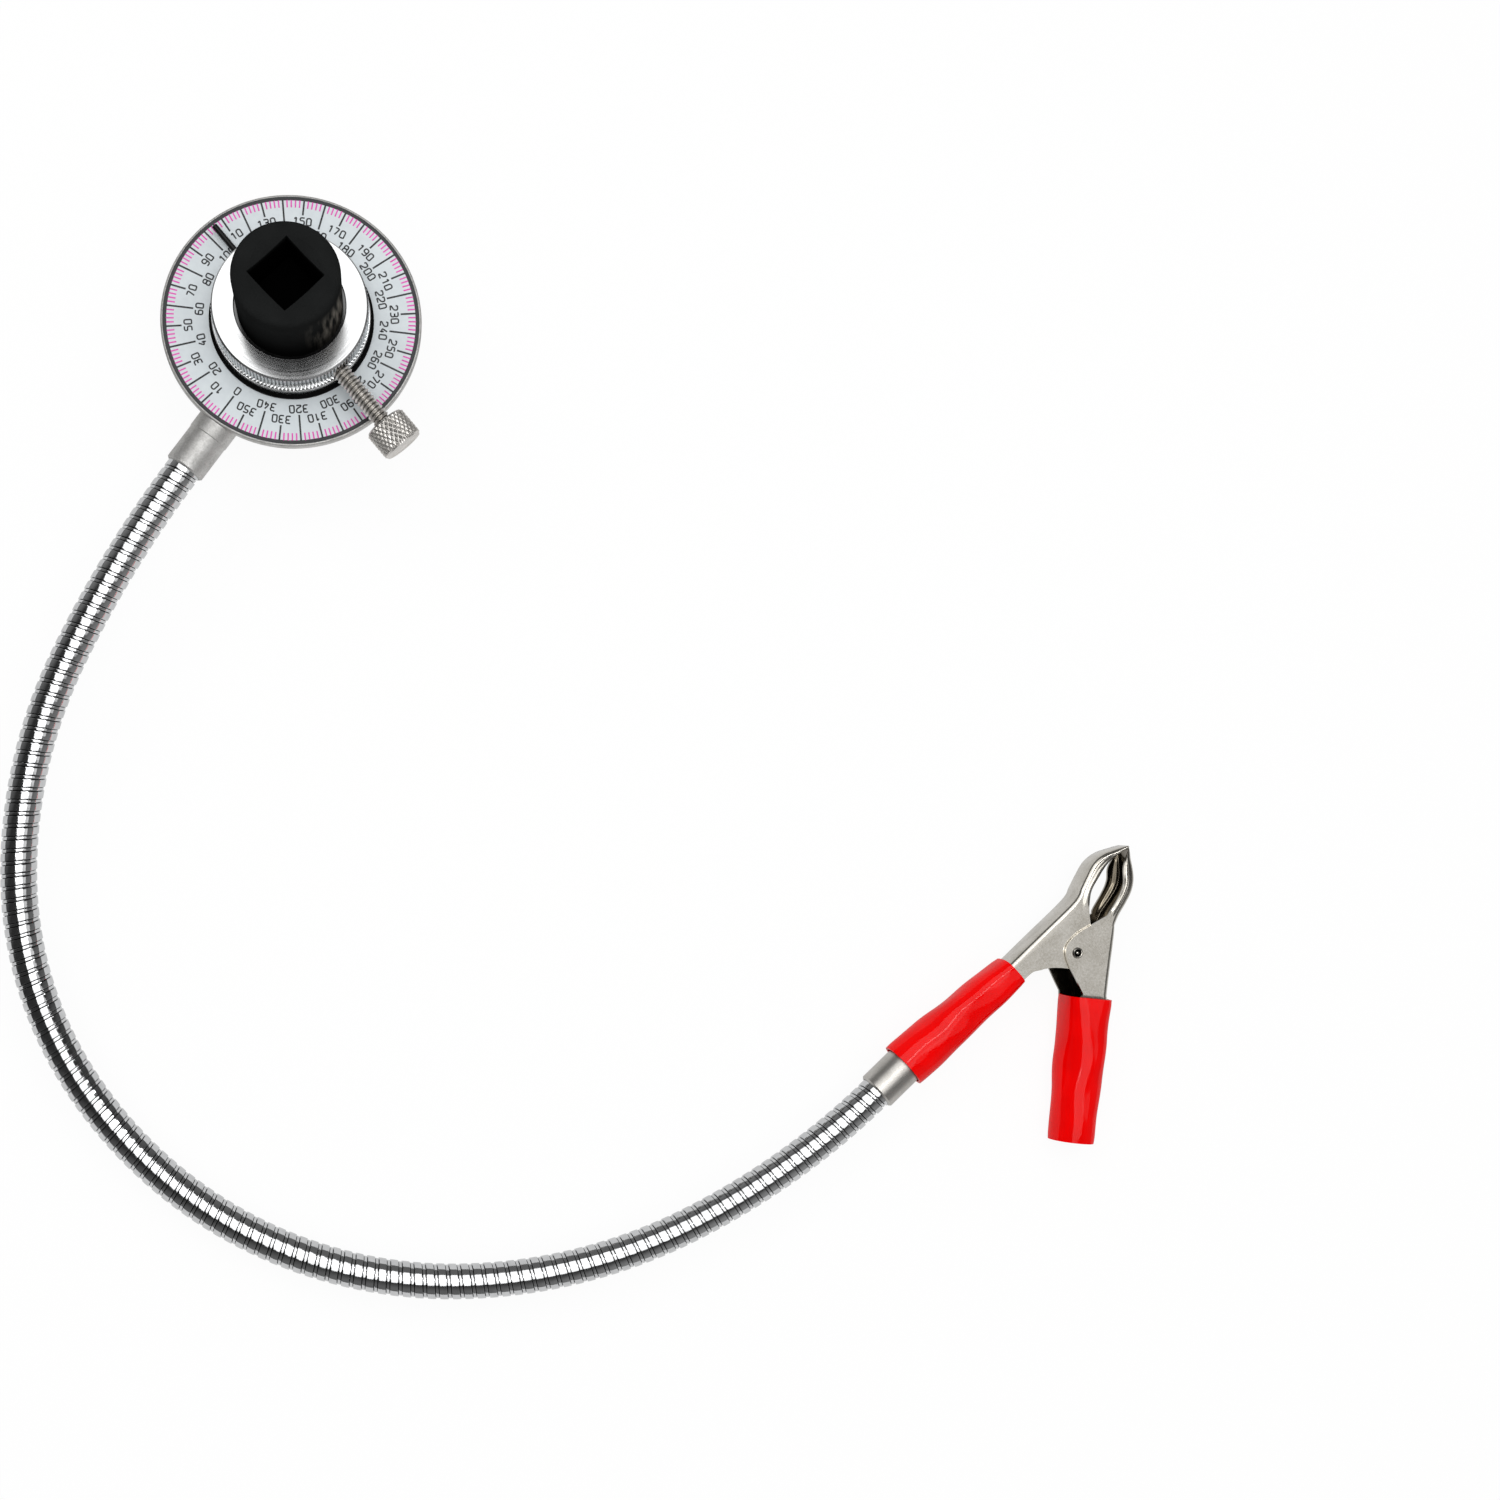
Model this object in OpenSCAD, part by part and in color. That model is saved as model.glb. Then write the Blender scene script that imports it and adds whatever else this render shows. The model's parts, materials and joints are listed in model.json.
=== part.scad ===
// Torque angle gauge: a half-inch drive turns in a fixed dial, a clamped ring
// carries the pointer, and a gooseneck with a spring clip holds the dial still.
// Millimetres, +Z up along the drive, origin at the end of the male square.

/* [Drive] */
// Side of the drive squares, male and female
drive_square = 12.7; // [9.5:0.1:13.5]
// Length of the male square
square_len = 15.5; // [13:0.5:22]
// Depth of the female square
socket_depth = 17; // [12:0.5:26]
// Diameter of the lead-in cone at the mouth of the female square
mouth_d = 18; // [15:0.1:21]
// Diameter of the drive body above the dial
drive_d = 25.7; // [23:0.1:26]
// Height of the drive body above the dial face
drive_rise = 40.3; // [32:0.1:60]
// Rounding of the drive body's top edge
drive_edge = 1.4; // [0.3:0.1:1.5]
// Diameter of the journal that runs in the dial
journal_d = 20; // [18.5:0.1:21]
// Diameter of the detent ball in the male square
ball_d = 5.5; // [4:0.1:6]
// How far the detent ball stands out of its flat
ball_proud = 1; // [0.6:0.1:1.4]
// Thickness of the retaining ring under the dial
retainer_t = 1.2; // [0.8:0.1:1.6]
// Thickness of the thrust washer above the retaining ring
thrust_t = 1; // [0.6:0.1:2]
// Angle of the drive squares about the axis
drive_angle = -10.6; // [-45:0.1:45]

/* [Dial] */
// Diameter of the cast dial
dial_d = 64.4; // [62:0.1:80]
// Thickness of the cast dial at its rim
dial_t = 3.6; // [2.5:0.1:5]
// Width of the bare rim round the printed scale plate
rim_w = 0.6; // [0.5:0.1:3]
// Thickness of the printed scale plate
plate_t = 0.6; // [0.4:0.1:1]
// Diameter of the hub under the dial
hub_d = 34; // [31:0.5:44]
// Length of the hub, from the scale down
hub_len = 13.2; // [11:0.1:18]
// Wall of the bearing bush
bush_wall = 2; // [1.2:0.1:3]
// Diameter of the stem that holds the gooseneck
stem_d = 10.2; // [9.8:0.1:12]
// Distance from the drive axis to the stem's end
stem_reach = 45.6; // [40:0.1:60]
// Depth of the stem's axis below the scale
stem_drop = 5.6; // [5.4:0.1:7]

/* [Pointer ring] */
// Diameter of the knurled band
ring_d = 38.3; // [37:0.1:39]
// Diameter of the flange under the knurl
flange_d = 39; // [38.5:0.1:41]
// Height of the flange
flange_h = 3; // [2:0.1:4]
// Diameter of the ring's top face
ring_top_d = 36.9; // [34:0.1:37]
// Height of the ring
ring_h = 12.7; // [10:0.1:16]
// Bore of the ring above its running lip
ring_bore_d = 27; // [26.5:0.1:29]
// Height of the running lip
lip_h = 3; // [2:0.1:3.5]
// Scale value that the pointer shows
pointer_value = 104.7; // [0:0.1:360]
// Diameter of the pointer rod
pointer_d = 1.5; // [1:0.1:1.8]
// Distance from the drive axis to the pointer's tip
pointer_reach = 29.8; // [26:0.1:31]
// Diameter of the washer between ring and scale
washer_d = 40.6; // [38:0.1:44]
// Thickness of the washer between ring and scale
washer_t = 0.8; // [0.5:0.1:1.5]

/* [Thumbscrew] */
// Diameter of the threaded stud
stud_d = 4.8; // [4:0.1:6]
// Diameter of the knurled head
head_d = 11; // [8:0.1:14]
// Length of the knurled head
head_len = 7.5; // [5:0.1:10]
// Distance from the drive axis to the head's near face
head_reach = 35.7; // [32:0.1:42]
// Length of the clamping pad ahead of the stud
pad_len = 2; // [1.6:0.1:3]

/* [Gooseneck] */
// Outer diameter of the strip-wound hose
neck_d = 8.8; // [7:0.1:9]
// Spacing of the wound bands
band_pitch = 3; // [2.5:0.1:5]
// Width of the groove between two bands
groove_w = 0.5; // [0.3:0.1:0.8]
// Depth of the groove between two bands
groove_depth = 0.35; // [0.2:0.05:0.6]
// Length of hose held inside the stem and the ferrule
neck_hold = 7; // [4:0.5:9]
// Largest bend at one joint of the hose
bend_limit = 24; // [10:1:28]

/* [Clip] */
// Diameter of the end ferrule
ferrule_d = 10.4; // [10:0.1:11]
// Length of ferrule that shows between hose and grip
ferrule_len = 9.9; // [9.5:0.1:16]
// Thickness of the stamped sheet
sheet_t = 1; // [0.8:0.1:1.2]
// Width of the moving jaw over its cheeks
jaw_w = 12.6; // [11:0.1:14]
// Length of the red grips
grip_len = 38; // [34:0.5:44]
// Wall of the red grips
grip_wall = 0.8; // [0.6:0.1:1]
// Distance from the ferrule's start to the rivet
rivet_reach = 63; // [60:0.5:70]
// Offset of the rivet from the hose's axis
rivet_offset = 9.4; // [9:0.1:11]
// Diameter of the rivet
rivet_d = 2; // [1.6:0.1:4]
// Length of the jaws ahead of the rivet
nose_len = 30; // [28:0.5:36]
// Angle between the moving handle and the clip's axis
handle_angle = 41.4; // [36:0.1:48]
// Wire of the torsion spring
spring_wire = 1.2; // [0.8:0.1:1.4]
// Roll of the clip about the hose's axis as it lies
clip_roll = 7; // [0:0.5:10]

/* [Hidden] */
$fn = 48;
// Radial running fit of shafts and pins
fit = 0.03;
// Radial fit of a stud, rivet or spigot in its hole
hole_fit = 0.05;
// Clearance between faces that run on each other
face_fit = 0.05;

// Levels from the male square's end upwards
retainer_z = square_len + 1.5;
thrust_z = retainer_z + retainer_t;
hub_z = thrust_z + thrust_t + face_fit;
face_z = hub_z + hub_len;
drive_top = face_z + drive_rise;
stem_z = face_z - stem_drop;
ring_z = face_z + washer_t + face_fit;
ring_top = ring_z + ring_h;
pointer_z = ring_z + flange_h / 2;
screw_z = ring_z + ring_h / 2;
pointer_angle = -90 - pointer_value;
screw_angle = pointer_angle + 180;

// Drive details
groove_d = journal_d - 1.4;
journal_chamfer = 1;
square_corner_d = drive_square * sqrt(2) - 1.2;
square_chamfer = 0.8;
socket_fit = 0.06;
// Depth of the lead-in cone for each millimetre of its radius
mouth_slope = 0.35;
ball_z = square_len / 2;
ball_x = drive_square / 2 + ball_proud - ball_d / 2;
ball_hole_end = -drive_square / 2 + 2;

// Dial details
bush_od = journal_d + 2 * (fit + bush_wall);
bush_flange_d = bush_od + 3;
bush_flange_t = 1.5;
plate_d = dial_d - 2 * rim_w;
plate_fit = 0.05;
rim_round = 0.5;
hub_chamfer = 1;
stem_bore_depth = neck_hold + 1;

// Ring details
ring_chamfer = 0.3;
bore_lead = 0.3;
knurl_top = ring_h - 0.7;
pointer_seat = 2.4;
head_socket = 3;
head_chamfer = 0.5;
pad_r0 = drive_d / 2 + face_fit;

// Hose: length of each length of hose, then heading and share of dip where they meet
neck_len = [55, 55, 55, 55, 55, 60, 58.5];
neck_heading = [-90, -79.5, -54.5, -21.5, 7, 35, 60.5, 78];
neck_dip_share = [0, 0.5, 1, 0.5, 0, 0, 0, 0];
neck_last = len(neck_len) - 1;
neck_fall = neck_len[0] + neck_len[1];
neck_r = neck_d / 2;
hinge_tip_r = 0.6;
hinge_gap = 0.15;
relief_angle = bend_limit / 2 + 0.6;
hold_r = neck_r - 0.15;
seam = 0.05;
relief = seam + hinge_gap + (neck_r - hinge_tip_r) * tan(relief_angle);

// Clip details
fixed_w = jaw_w - 2 * sheet_t - 0.2;
grip_fit = 0.1;
fixed_grip_end = ferrule_len + grip_len;
handle_far = fixed_grip_end - rivet_reach;
rivet_head_d = rivet_d + 0.9;
rivet_head_t = 0.6;
rivet_bore_d = rivet_d / 2;
ear_r = 4.6;
grip_start = 11.5;
grip_axis = 5.7;
fixed_grip_w = [13.3, 8.8];
fixed_grip_h = [13.3, fixed_w + 2 * (grip_wall + grip_fit)];
fixed_grip_y = [0, -2];
moving_grip_w = [13.9, 12.4];
moving_grip_h = [jaw_w + 2 * (grip_wall + grip_fit), 12];
grip_corner = 3;
handle_short = 2.5;
spring_r = 3.7;
spring_turns = 4;
spigot_d = fixed_grip_w[0] - 2 * (grip_wall + grip_fit + sheet_t) - 1.7;
spigot_len = 5;
// Height of the hose's axis where the clip lies with its open grip on the table
grip_end_span = rivet_offset + (grip_start + grip_len) * sin(handle_angle) + grip_axis * cos(handle_angle);
clip_z = grip_end_span * sin(clip_roll) + moving_grip_h[1] / 2 * cos(clip_roll) + 0.6;
neck_dip = -(stem_z - clip_z) / neck_fall * 180 / PI;

// Points on an arc about c
function arc(c, r, a0, a1, n = 6) = [for (i = [0:n]) c + r * [cos(a0 + (a1 - a0) * i / n), sin(a0 + (a1 - a0) * i / n)]];

// Smooth curve through a few points
function between(a, b, c, d, t) =
    (2 * b + (c - a) * t + (2 * a - 5 * b + 4 * c - d) * t * t + (3 * b - a - 3 * c + d) * t * t * t) / 2;
function through(p, n = 4) = concat(
    [for (i = [0:len(p) - 2], k = [0:n - 1])
        between(p[max(i - 1, 0)], p[i], p[i + 1], p[min(i + 2, len(p) - 1)], k / n)],
    [p[len(p) - 1]]);

// Round wire swept along a path that never runs along Z
module wire(path, d, sides = 8) {
    n = len(path);
    rings = [for (i = [0:n - 1])
        let (t = path[min(i + 1, n - 1)] - path[max(i - 1, 0)], side = cross([0, 0, 1], t))
        let (u = side / norm(side), w = cross(t / norm(t), u))
        for (k = [0:sides - 1]) path[i] + d / 2 * (u * cos(360 * k / sides) + w * sin(360 * k / sides))];
    walls = [for (i = [0:n - 2], k = [0:sides - 1])
        let (a = i * sides + k, b = i * sides + (k + 1) % sides)
        each [[a, b, b + sides], [a, b + sides, a + sides]]];
    start = [for (k = [sides - 1:-1:0]) k];
    end = [for (k = [0:sides - 1]) (n - 1) * sides + k];
    polyhedron(rings, concat([start], walls, [end]));
}

// Frame of the pointer ring's radial parts: +Z outwards from the drive axis
module radial(angle, z) {
    translate([0, 0, z]) rotate([0, 0, angle]) rotate([0, 90, 0]) children();
}

// Drive

module square_shank() {
    intersection() {
        translate([-drive_square / 2, -drive_square / 2, 0])
            cube([drive_square, drive_square, square_len + journal_chamfer]);
        rotate_extrude()
            polygon([[0, 0], [square_corner_d / 2 - square_chamfer, 0], [square_corner_d / 2, square_chamfer],
                [square_corner_d / 2, square_len + journal_chamfer], [0, square_len + journal_chamfer]]);
    }
}

module drive_body() {
    mouth_depth = (mouth_d - drive_square) / 2 * mouth_slope;
    socket_w = drive_square + 2 * socket_fit;
    color("#3a3b3c") rotate([0, 0, drive_angle]) difference() {
        union() {
            square_shank();
            rotate_extrude($fn = 72)
                polygon(concat([[0, square_len], [journal_d / 2 - journal_chamfer, square_len],
                    [journal_d / 2, square_len + journal_chamfer], [journal_d / 2, retainer_z],
                    [groove_d / 2, retainer_z], [groove_d / 2, retainer_z + retainer_t],
                    [journal_d / 2, retainer_z + retainer_t], [journal_d / 2, face_z + face_fit],
                    [drive_d / 2, face_z + face_fit]],
                    arc([drive_d / 2 - drive_edge, drive_top - drive_edge], drive_edge, 0, 90),
                    [[0, drive_top]]));
        }
        translate([-socket_w / 2, -socket_w / 2, drive_top - socket_depth])
            cube([socket_w, socket_w, socket_depth + 1]);
        translate([0, 0, drive_top - mouth_depth])
            cylinder(d1 = drive_square, d2 = mouth_d, h = mouth_depth);
        translate([ball_hole_end, 0, ball_z]) rotate([0, 90, 0])
            cylinder(d = ball_d + 2 * hole_fit, h = drive_square);
    }
}

module detent_ball() {
    color("#b9bcc0") rotate([0, 0, drive_angle]) translate([ball_x, 0, ball_z]) sphere(d = ball_d);
}

module detent_spring() {
    coils = 4;
    wire_d = 0.6;
    r = ball_d / 2 - wire_d;
    x0 = ball_hole_end + wire_d / 2;
    seat = sqrt(pow(ball_d / 2 + wire_d / 2, 2) - r * r);
    length = ball_x - seat - x0;
    steps = 12 * coils;
    path = [for (i = [0:steps]) [r * cos(30 * i), r * sin(30 * i), length * i / steps]];
    color("#9a9da1") rotate([0, 0, drive_angle]) translate([x0, 0, ball_z]) rotate([0, 90, 0])
        wire(path, wire_d);
}

module retaining_ring() {
    gap_angle = 40;
    rim = journal_d / 2 + 1.6;
    lug_r = 1.7;
    lug_reach = rim - 0.6;
    t = retainer_t - 2 * face_fit;
    color("#4a4b4d") rotate([0, 0, drive_angle]) translate([0, 0, retainer_z + face_fit]) difference() {
        union() {
            rotate([0, 0, gap_angle / 2]) rotate_extrude(angle = 360 - gap_angle, $fn = 72)
                translate([groove_d / 2 + face_fit, 0]) square([rim - groove_d / 2 - face_fit, t]);
            for (side = [-1, 1]) rotate([0, 0, side * gap_angle / 2]) translate([lug_reach, 0, 0])
                cylinder(r = lug_r, h = t);
        }
        for (side = [-1, 1]) rotate([0, 0, side * gap_angle / 2]) translate([lug_reach, 0, -1])
            cylinder(d = 1.4, h = t + 2);
        translate([0, 0, -1]) cylinder(r = groove_d / 2 + face_fit, h = t + 2);
    }
}

module thrust_washer() {
    color("#c9a45c") translate([0, 0, thrust_z]) difference() {
        cylinder(d = bush_od + 4, h = thrust_t);
        translate([0, 0, -1]) cylinder(d = journal_d + 2 * fit, h = thrust_t + 2);
    }
}

// Dial

module dial_housing() {
    seat_z = face_z - plate_t;
    plate_r = plate_d / 2 + plate_fit;
    color("#a9a8a3") difference() {
        union() {
            rotate_extrude($fn = 96)
                polygon(concat([[bush_od / 2, hub_z], [hub_d / 2 - hub_chamfer, hub_z],
                    [hub_d / 2, hub_z + hub_chamfer], [hub_d / 2, face_z - dial_t - hub_chamfer],
                    [hub_d / 2 + hub_chamfer, face_z - dial_t], [dial_d / 2 - 2 * rim_round, face_z - dial_t]],
                    arc([dial_d / 2 - 2 * rim_round, face_z - dial_t + 2 * rim_round], 2 * rim_round, -90, 0, 4),
                    arc([dial_d / 2 - rim_round, face_z - rim_round], rim_round, 0, 90, 4),
                    [[plate_r, face_z], [plate_r, seat_z], [bush_flange_d / 2 + fit, seat_z],
                    [bush_flange_d / 2 + fit, face_z - bush_flange_t], [bush_od / 2, face_z - bush_flange_t]]));
            difference() {
                translate([0, 0, stem_z]) rotate([90, 0, 0]) rotate_extrude()
                    polygon([[0, hub_d / 2 - 2], [stem_d / 2 + 0.15, hub_d / 2 - 2],
                        [stem_d / 2 + 0.15, dial_d / 2 + 3.4], [stem_d / 2, dial_d / 2 + 3.6],
                        [stem_d / 2, stem_reach - 0.4], [stem_d / 2 - 0.4, stem_reach], [0, stem_reach]]);
                translate([0, 0, seat_z]) cylinder(d = dial_d, h = stem_d);
            }
        }
        translate([0, 0, stem_z]) rotate([90, 0, 0]) translate([0, 0, stem_reach - stem_bore_depth])
            cylinder(d = neck_d + 2 * hole_fit, h = stem_bore_depth + 1);
    }
}

module dial_plate() {
    color("#eceeef") translate([0, 0, face_z - plate_t]) difference() {
        cylinder(d = plate_d, h = plate_t, $fn = 96);
        translate([0, 0, -1]) cylinder(d = bush_flange_d + 2 * plate_fit, h = plate_t + 2);
    }
}

module hub_bush() {
    color("#b08d4f") rotate_extrude($fn = 72)
        polygon([[journal_d / 2 + fit, hub_z], [bush_od / 2, hub_z], [bush_od / 2, face_z - bush_flange_t],
            [bush_flange_d / 2, face_z - bush_flange_t], [bush_flange_d / 2, face_z], [journal_d / 2 + fit, face_z]]);
}

module slip_washer() {
    color("#141414") translate([0, 0, face_z]) difference() {
        cylinder(d = washer_d, h = washer_t, $fn = 72);
        translate([0, 0, -1]) cylinder(d = drive_d + 1, h = washer_t + 2);
    }
}

// Pointer ring and thumbscrew

module pointer_ring() {
    color("#d3d4d6") difference() {
        translate([0, 0, ring_z]) rotate_extrude($fn = 72)
            polygon([[drive_d / 2 + fit, 0], [flange_d / 2 - ring_chamfer, 0], [flange_d / 2, ring_chamfer],
                [flange_d / 2, flange_h - ring_chamfer], [flange_d / 2 - ring_chamfer, flange_h],
                [ring_d / 2, flange_h], [ring_d / 2, knurl_top], [ring_top_d / 2, knurl_top + ring_chamfer],
                [ring_top_d / 2, ring_h], [ring_bore_d / 2 + bore_lead, ring_h],
                [ring_bore_d / 2, ring_h - bore_lead], [ring_bore_d / 2, lip_h], [drive_d / 2 + fit, lip_h]]);
        radial(screw_angle, screw_z) cylinder(d = stud_d + 2 * hole_fit, h = flange_d);
        radial(pointer_angle, pointer_z) translate([0, 0, flange_d / 2 - pointer_seat])
            cylinder(d = pointer_d + 2 * hole_fit, h = flange_d);
    }
}

module pointer_rod() {
    seat = flange_d / 2 - pointer_seat;
    tip = 0.2;
    color("#191919") radial(pointer_angle, pointer_z) translate([0, 0, seat]) rotate_extrude()
        polygon([[0, 0], [pointer_d / 2, 0], [pointer_d / 2, pointer_reach - seat - tip],
            [pointer_d / 2 - tip, pointer_reach - seat], [0, pointer_reach - seat]]);
}

module clamp_pad() {
    nose = 0.3;
    color("#b08d4f") radial(screw_angle, screw_z) translate([0, 0, pad_r0]) rotate_extrude()
        polygon([[0, 0], [stud_d / 2 - 2 * nose, 0], [stud_d / 2 - nose, nose], [stud_d / 2 - nose, pad_len],
            [0, pad_len]]);
}

module thumbscrew_stud() {
    lead = 0.4;
    length = head_reach + head_socket - pad_r0 - pad_len;
    color("#a8a6a4") radial(screw_angle, screw_z) translate([0, 0, pad_r0 + pad_len]) rotate_extrude()
        polygon([[0, 0], [stud_d / 2 - lead, 0], [stud_d / 2, lead], [stud_d / 2, length], [0, length]]);
}

module thumbscrew_head() {
    color("#b5b4b2") radial(screw_angle, screw_z) translate([0, 0, head_reach]) difference() {
        rotate_extrude()
            polygon([[0, 0], [head_d / 2 - head_chamfer, 0], [head_d / 2, head_chamfer],
                [head_d / 2, head_len - head_chamfer], [head_d / 2 - head_chamfer, head_len], [0, head_len]]);
        translate([0, 0, -1]) cylinder(d = stud_d, h = head_socket + 1);
    }
}

// Gooseneck: each length of hose is one circular bend between two headings

function aim(heading, dip) = [cos(heading) * cos(dip), sin(heading) * cos(dip), sin(dip)];
function tangent(k) = aim(neck_heading[k], neck_dip * neck_dip_share[k]);
function turn(k) = acos(tangent(k) * tangent(k + 1));
function bend_r(k) = neck_len[k] / (turn(k) * PI / 180);
function inward(k) = (tangent(k + 1) - tangent(k) * cos(turn(k))) / sin(turn(k));
function chord(k) = bend_r(k) * (sin(turn(k)) * tangent(k) + (1 - cos(turn(k))) * inward(k));
function neck_point(k) = k == 0 ? [0, -stem_reach, stem_z] : neck_point(k - 1) + chord(k - 1);
function along(k, s) = s / bend_r(k) * 180 / PI;

// Bend k about its own centre, starting on +X and running towards +Y
module on_bend(k) {
    ex = -inward(k);
    ey = tangent(k);
    ez = cross(ex, ey);
    c = neck_point(k) + bend_r(k) * inward(k);
    multmatrix([[ex.x, ey.x, ez.x, c.x], [ex.y, ey.y, ez.y, c.y], [ex.z, ey.z, ez.z, c.z]]) children();
}

// Place at length s of bend k, in the bend's frame, with +Z along the hose
module at_length(k, s) {
    rotate([0, 0, along(k, s)]) translate([bend_r(k), 0, 0]) rotate([-90, 0, 0]) children();
}

// Round length of bend k from s0 to s1, in the bend's frame
module hose_arc(k, s0, s1, r) {
    rotate([0, 0, along(k, s0)]) rotate_extrude(angle = along(k, s1 - s0), $fn = 360)
        translate([bend_r(k), 0]) circle(r = r, $fn = 32);
}

module hinge_cone() {
    translate([0, 0, hinge_gap]) cylinder(r1 = hinge_tip_r, r2 = hold_r, h = relief - hinge_gap, $fn = 32);
}

// Hose end that goes into the stem or the ferrule
module hose_end() {
    translate([0, 0, -2 * groove_w]) cylinder(r = hold_r, h = neck_hold + 2 * groove_w, $fn = 32);
}

module gooseneck(k) {
    s0 = k == 0 ? 0 : relief - seam;
    s1 = k == neck_last ? neck_len[k] : neck_len[k] - relief + seam;
    bands = round((s1 - s0) / band_pitch);
    pitch = (s1 - s0 + groove_w) / bands;
    color("#c6c8ca") on_bend(k) union() {
        hose_arc(k, s0 + groove_w, s1 - groove_w, neck_r - groove_depth);
        for (i = [0:bands - 1]) hose_arc(k, s0 + i * pitch, s0 + (i + 1) * pitch - groove_w, neck_r);
        at_length(k, 0) {
            if (k == 0) mirror([0, 0, 1]) hose_end();
            else hinge_cone();
        }
        at_length(k, neck_len[k]) {
            if (k == neck_last) hose_end();
            else mirror([0, 0, 1]) hinge_cone();
        }
    }
}

module gooseneck_1() gooseneck(0);
module gooseneck_2() gooseneck(1);
module gooseneck_3() gooseneck(2);
module gooseneck_4() gooseneck(3);
module gooseneck_5() gooseneck(4);
module gooseneck_6() gooseneck(5);
module gooseneck_7() gooseneck(6);

// Clip: lies along the end of the hose, the rivet upright and the jaws ahead

module in_clip() {
    translate(neck_point(neck_last + 1)) rotate([0, 0, neck_heading[neck_last + 1]]) rotate([clip_roll, 0, 0])
        children();
}

module at_rivet() {
    in_clip() translate([rivet_reach, -rivet_offset, 0]) children();
}

// Moving handle's frame: +X down the handle, +Y towards its outer side
module on_handle() {
    rotate([0, 0, 180 + handle_angle]) children();
}

// Soft-cornered taper along X from a section at x[0] to one at x[1]
module taper(x, y, w, h, corner) {
    hull() for (end = [0, 1], sy = [-1, 1], sz = [-1, 1])
        translate([x[end], y[end] + sy * (w[end] / 2 - corner[end]), sz * (h[end] / 2 - corner[end])])
            rotate([0, 90, 0]) cylinder(r = corner[end], h = 0.01, center = true, $fn = 32);
}

module end_ferrule() {
    edge = 0.4;
    color("#a9a6a1") in_clip() rotate([0, 90, 0]) rotate_extrude()
        polygon([[neck_r + hole_fit, 0], [ferrule_d / 2 - edge, 0], [ferrule_d / 2, edge], [ferrule_d / 2, ferrule_len],
            [spigot_d / 2, ferrule_len], [spigot_d / 2, ferrule_len + spigot_len], [0, ferrule_len + spigot_len],
            [0, neck_hold + 0.5], [neck_r + hole_fit, neck_hold + 0.5]]);
}

// Fixed jaw's back, from the tip to the handle
function fixed_back() = through([[nose_len, rivet_offset + 0.9], [nose_len - 3.4, rivet_offset + 2.8],
    [nose_len - 6.8, rivet_offset + 4.2], [nose_len - 10.5, rivet_offset + 4.4],
    [nose_len - 14.7, rivet_offset + 3.1], [nose_len - 17.5, rivet_offset + 2.1],
    [nose_len - 21.5, rivet_offset + 0.9], [handle_far, rivet_offset + 0.9]]);

// Fixed jaw's open side, from the handle round the ear to the tip
function fixed_front() = concat(
    through([[handle_far, rivet_offset - 5], [handle_far + 2, rivet_offset - 4.9],
        [handle_far + 4.8, rivet_offset - 5.9], [-8, 2], [-5.4, -0.4]]),
    arc([0, 0], ear_r, 190, 320, 8),
    through([[8, 2.8], [nose_len - 19.5, rivet_offset - 3.4], [nose_len - 16.2, rivet_offset - 0.7],
        [nose_len - 12.7, rivet_offset + 0.5], [nose_len - 6.8, rivet_offset + 1.6],
        [nose_len - 1.6, rivet_offset + 0.5]]));

module jaw_holes() {
    cylinder(d = rivet_d + 2 * hole_fit, h = 2 * jaw_w, center = true);
}

module fixed_jaw() {
    back = fixed_back();
    hollow = [for (p = back) p + sheet_t * [-0.6, -1]];
    x = [ferrule_len - rivet_reach, handle_far];
    y = [rivet_offset + fixed_grip_y[0], rivet_offset + fixed_grip_y[1]];
    skin = 2 * (grip_wall + grip_fit);
    w = [fixed_grip_w[0] - skin, fixed_grip_w[1] - skin];
    h = [fixed_grip_h[0] - skin, fixed_w];
    wall = 2 * sheet_t;
    color("#c4c2bd") at_rivet() difference() {
        union() {
            difference() {
                linear_extrude(height = fixed_w, center = true) polygon(concat(back, fixed_front()));
                linear_extrude(height = fixed_w - wall, center = true)
                    polygon(concat(hollow, [[handle_far - 2, -3 * ear_r], [nose_len + 2, -3 * ear_r]]));
            }
            difference() {
                taper(x, y, w, h, [w[0] / 2 - 0.01, 1.2]);
                taper([x[0] - 0.5, x[1] + 0.5], y, [w[0] - wall, w[1] - wall], [h[0] - wall, h[1] - wall],
                    [w[0] / 2 - sheet_t - 0.01, 0.6]);
                translate([x[0] + 12, y[0] - w[0], -h[1] / 2 + sheet_t]) cube([x[1] - x[0], w[0], h[1] - wall]);
            }
        }
        jaw_holes();
    }
}

// Moving jaw's back, from the tip to the handle
function moving_back() = through([[nose_len - 0.2, rivet_offset + 0.5], [nose_len - 1.2, rivet_offset - 1.4],
    [nose_len - 4.3, rivet_offset - 5.8], [nose_len - 7.3, rivet_offset - 8.1],
    [nose_len - 10.8, rivet_offset - 9.3], [nose_len - 14.8, rivet_offset - 10.3],
    [nose_len - 17.5, -2], [10.8, -3.7], [3.4, -9.9], [-1.5, -14.1]]);

// Moving jaw's open side, from the handle over the ear to the tip
function moving_front() = through([[-6.1, -9.1], [-4.8, -4.4], [-3.9, -0.9], [-2.7, 1.7], [-0.9, 3.3], [1.8, 3.7],
    [4.3, 3.5], [8, 2.6], [12.7, 1.4], [nose_len - 11.9, rivet_offset - 6.8], [nose_len - 8.1, rivet_offset - 5.2],
    [nose_len - 5, rivet_offset - 2.2], [nose_len - 0.7, rivet_offset + 0.3]]);

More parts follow.
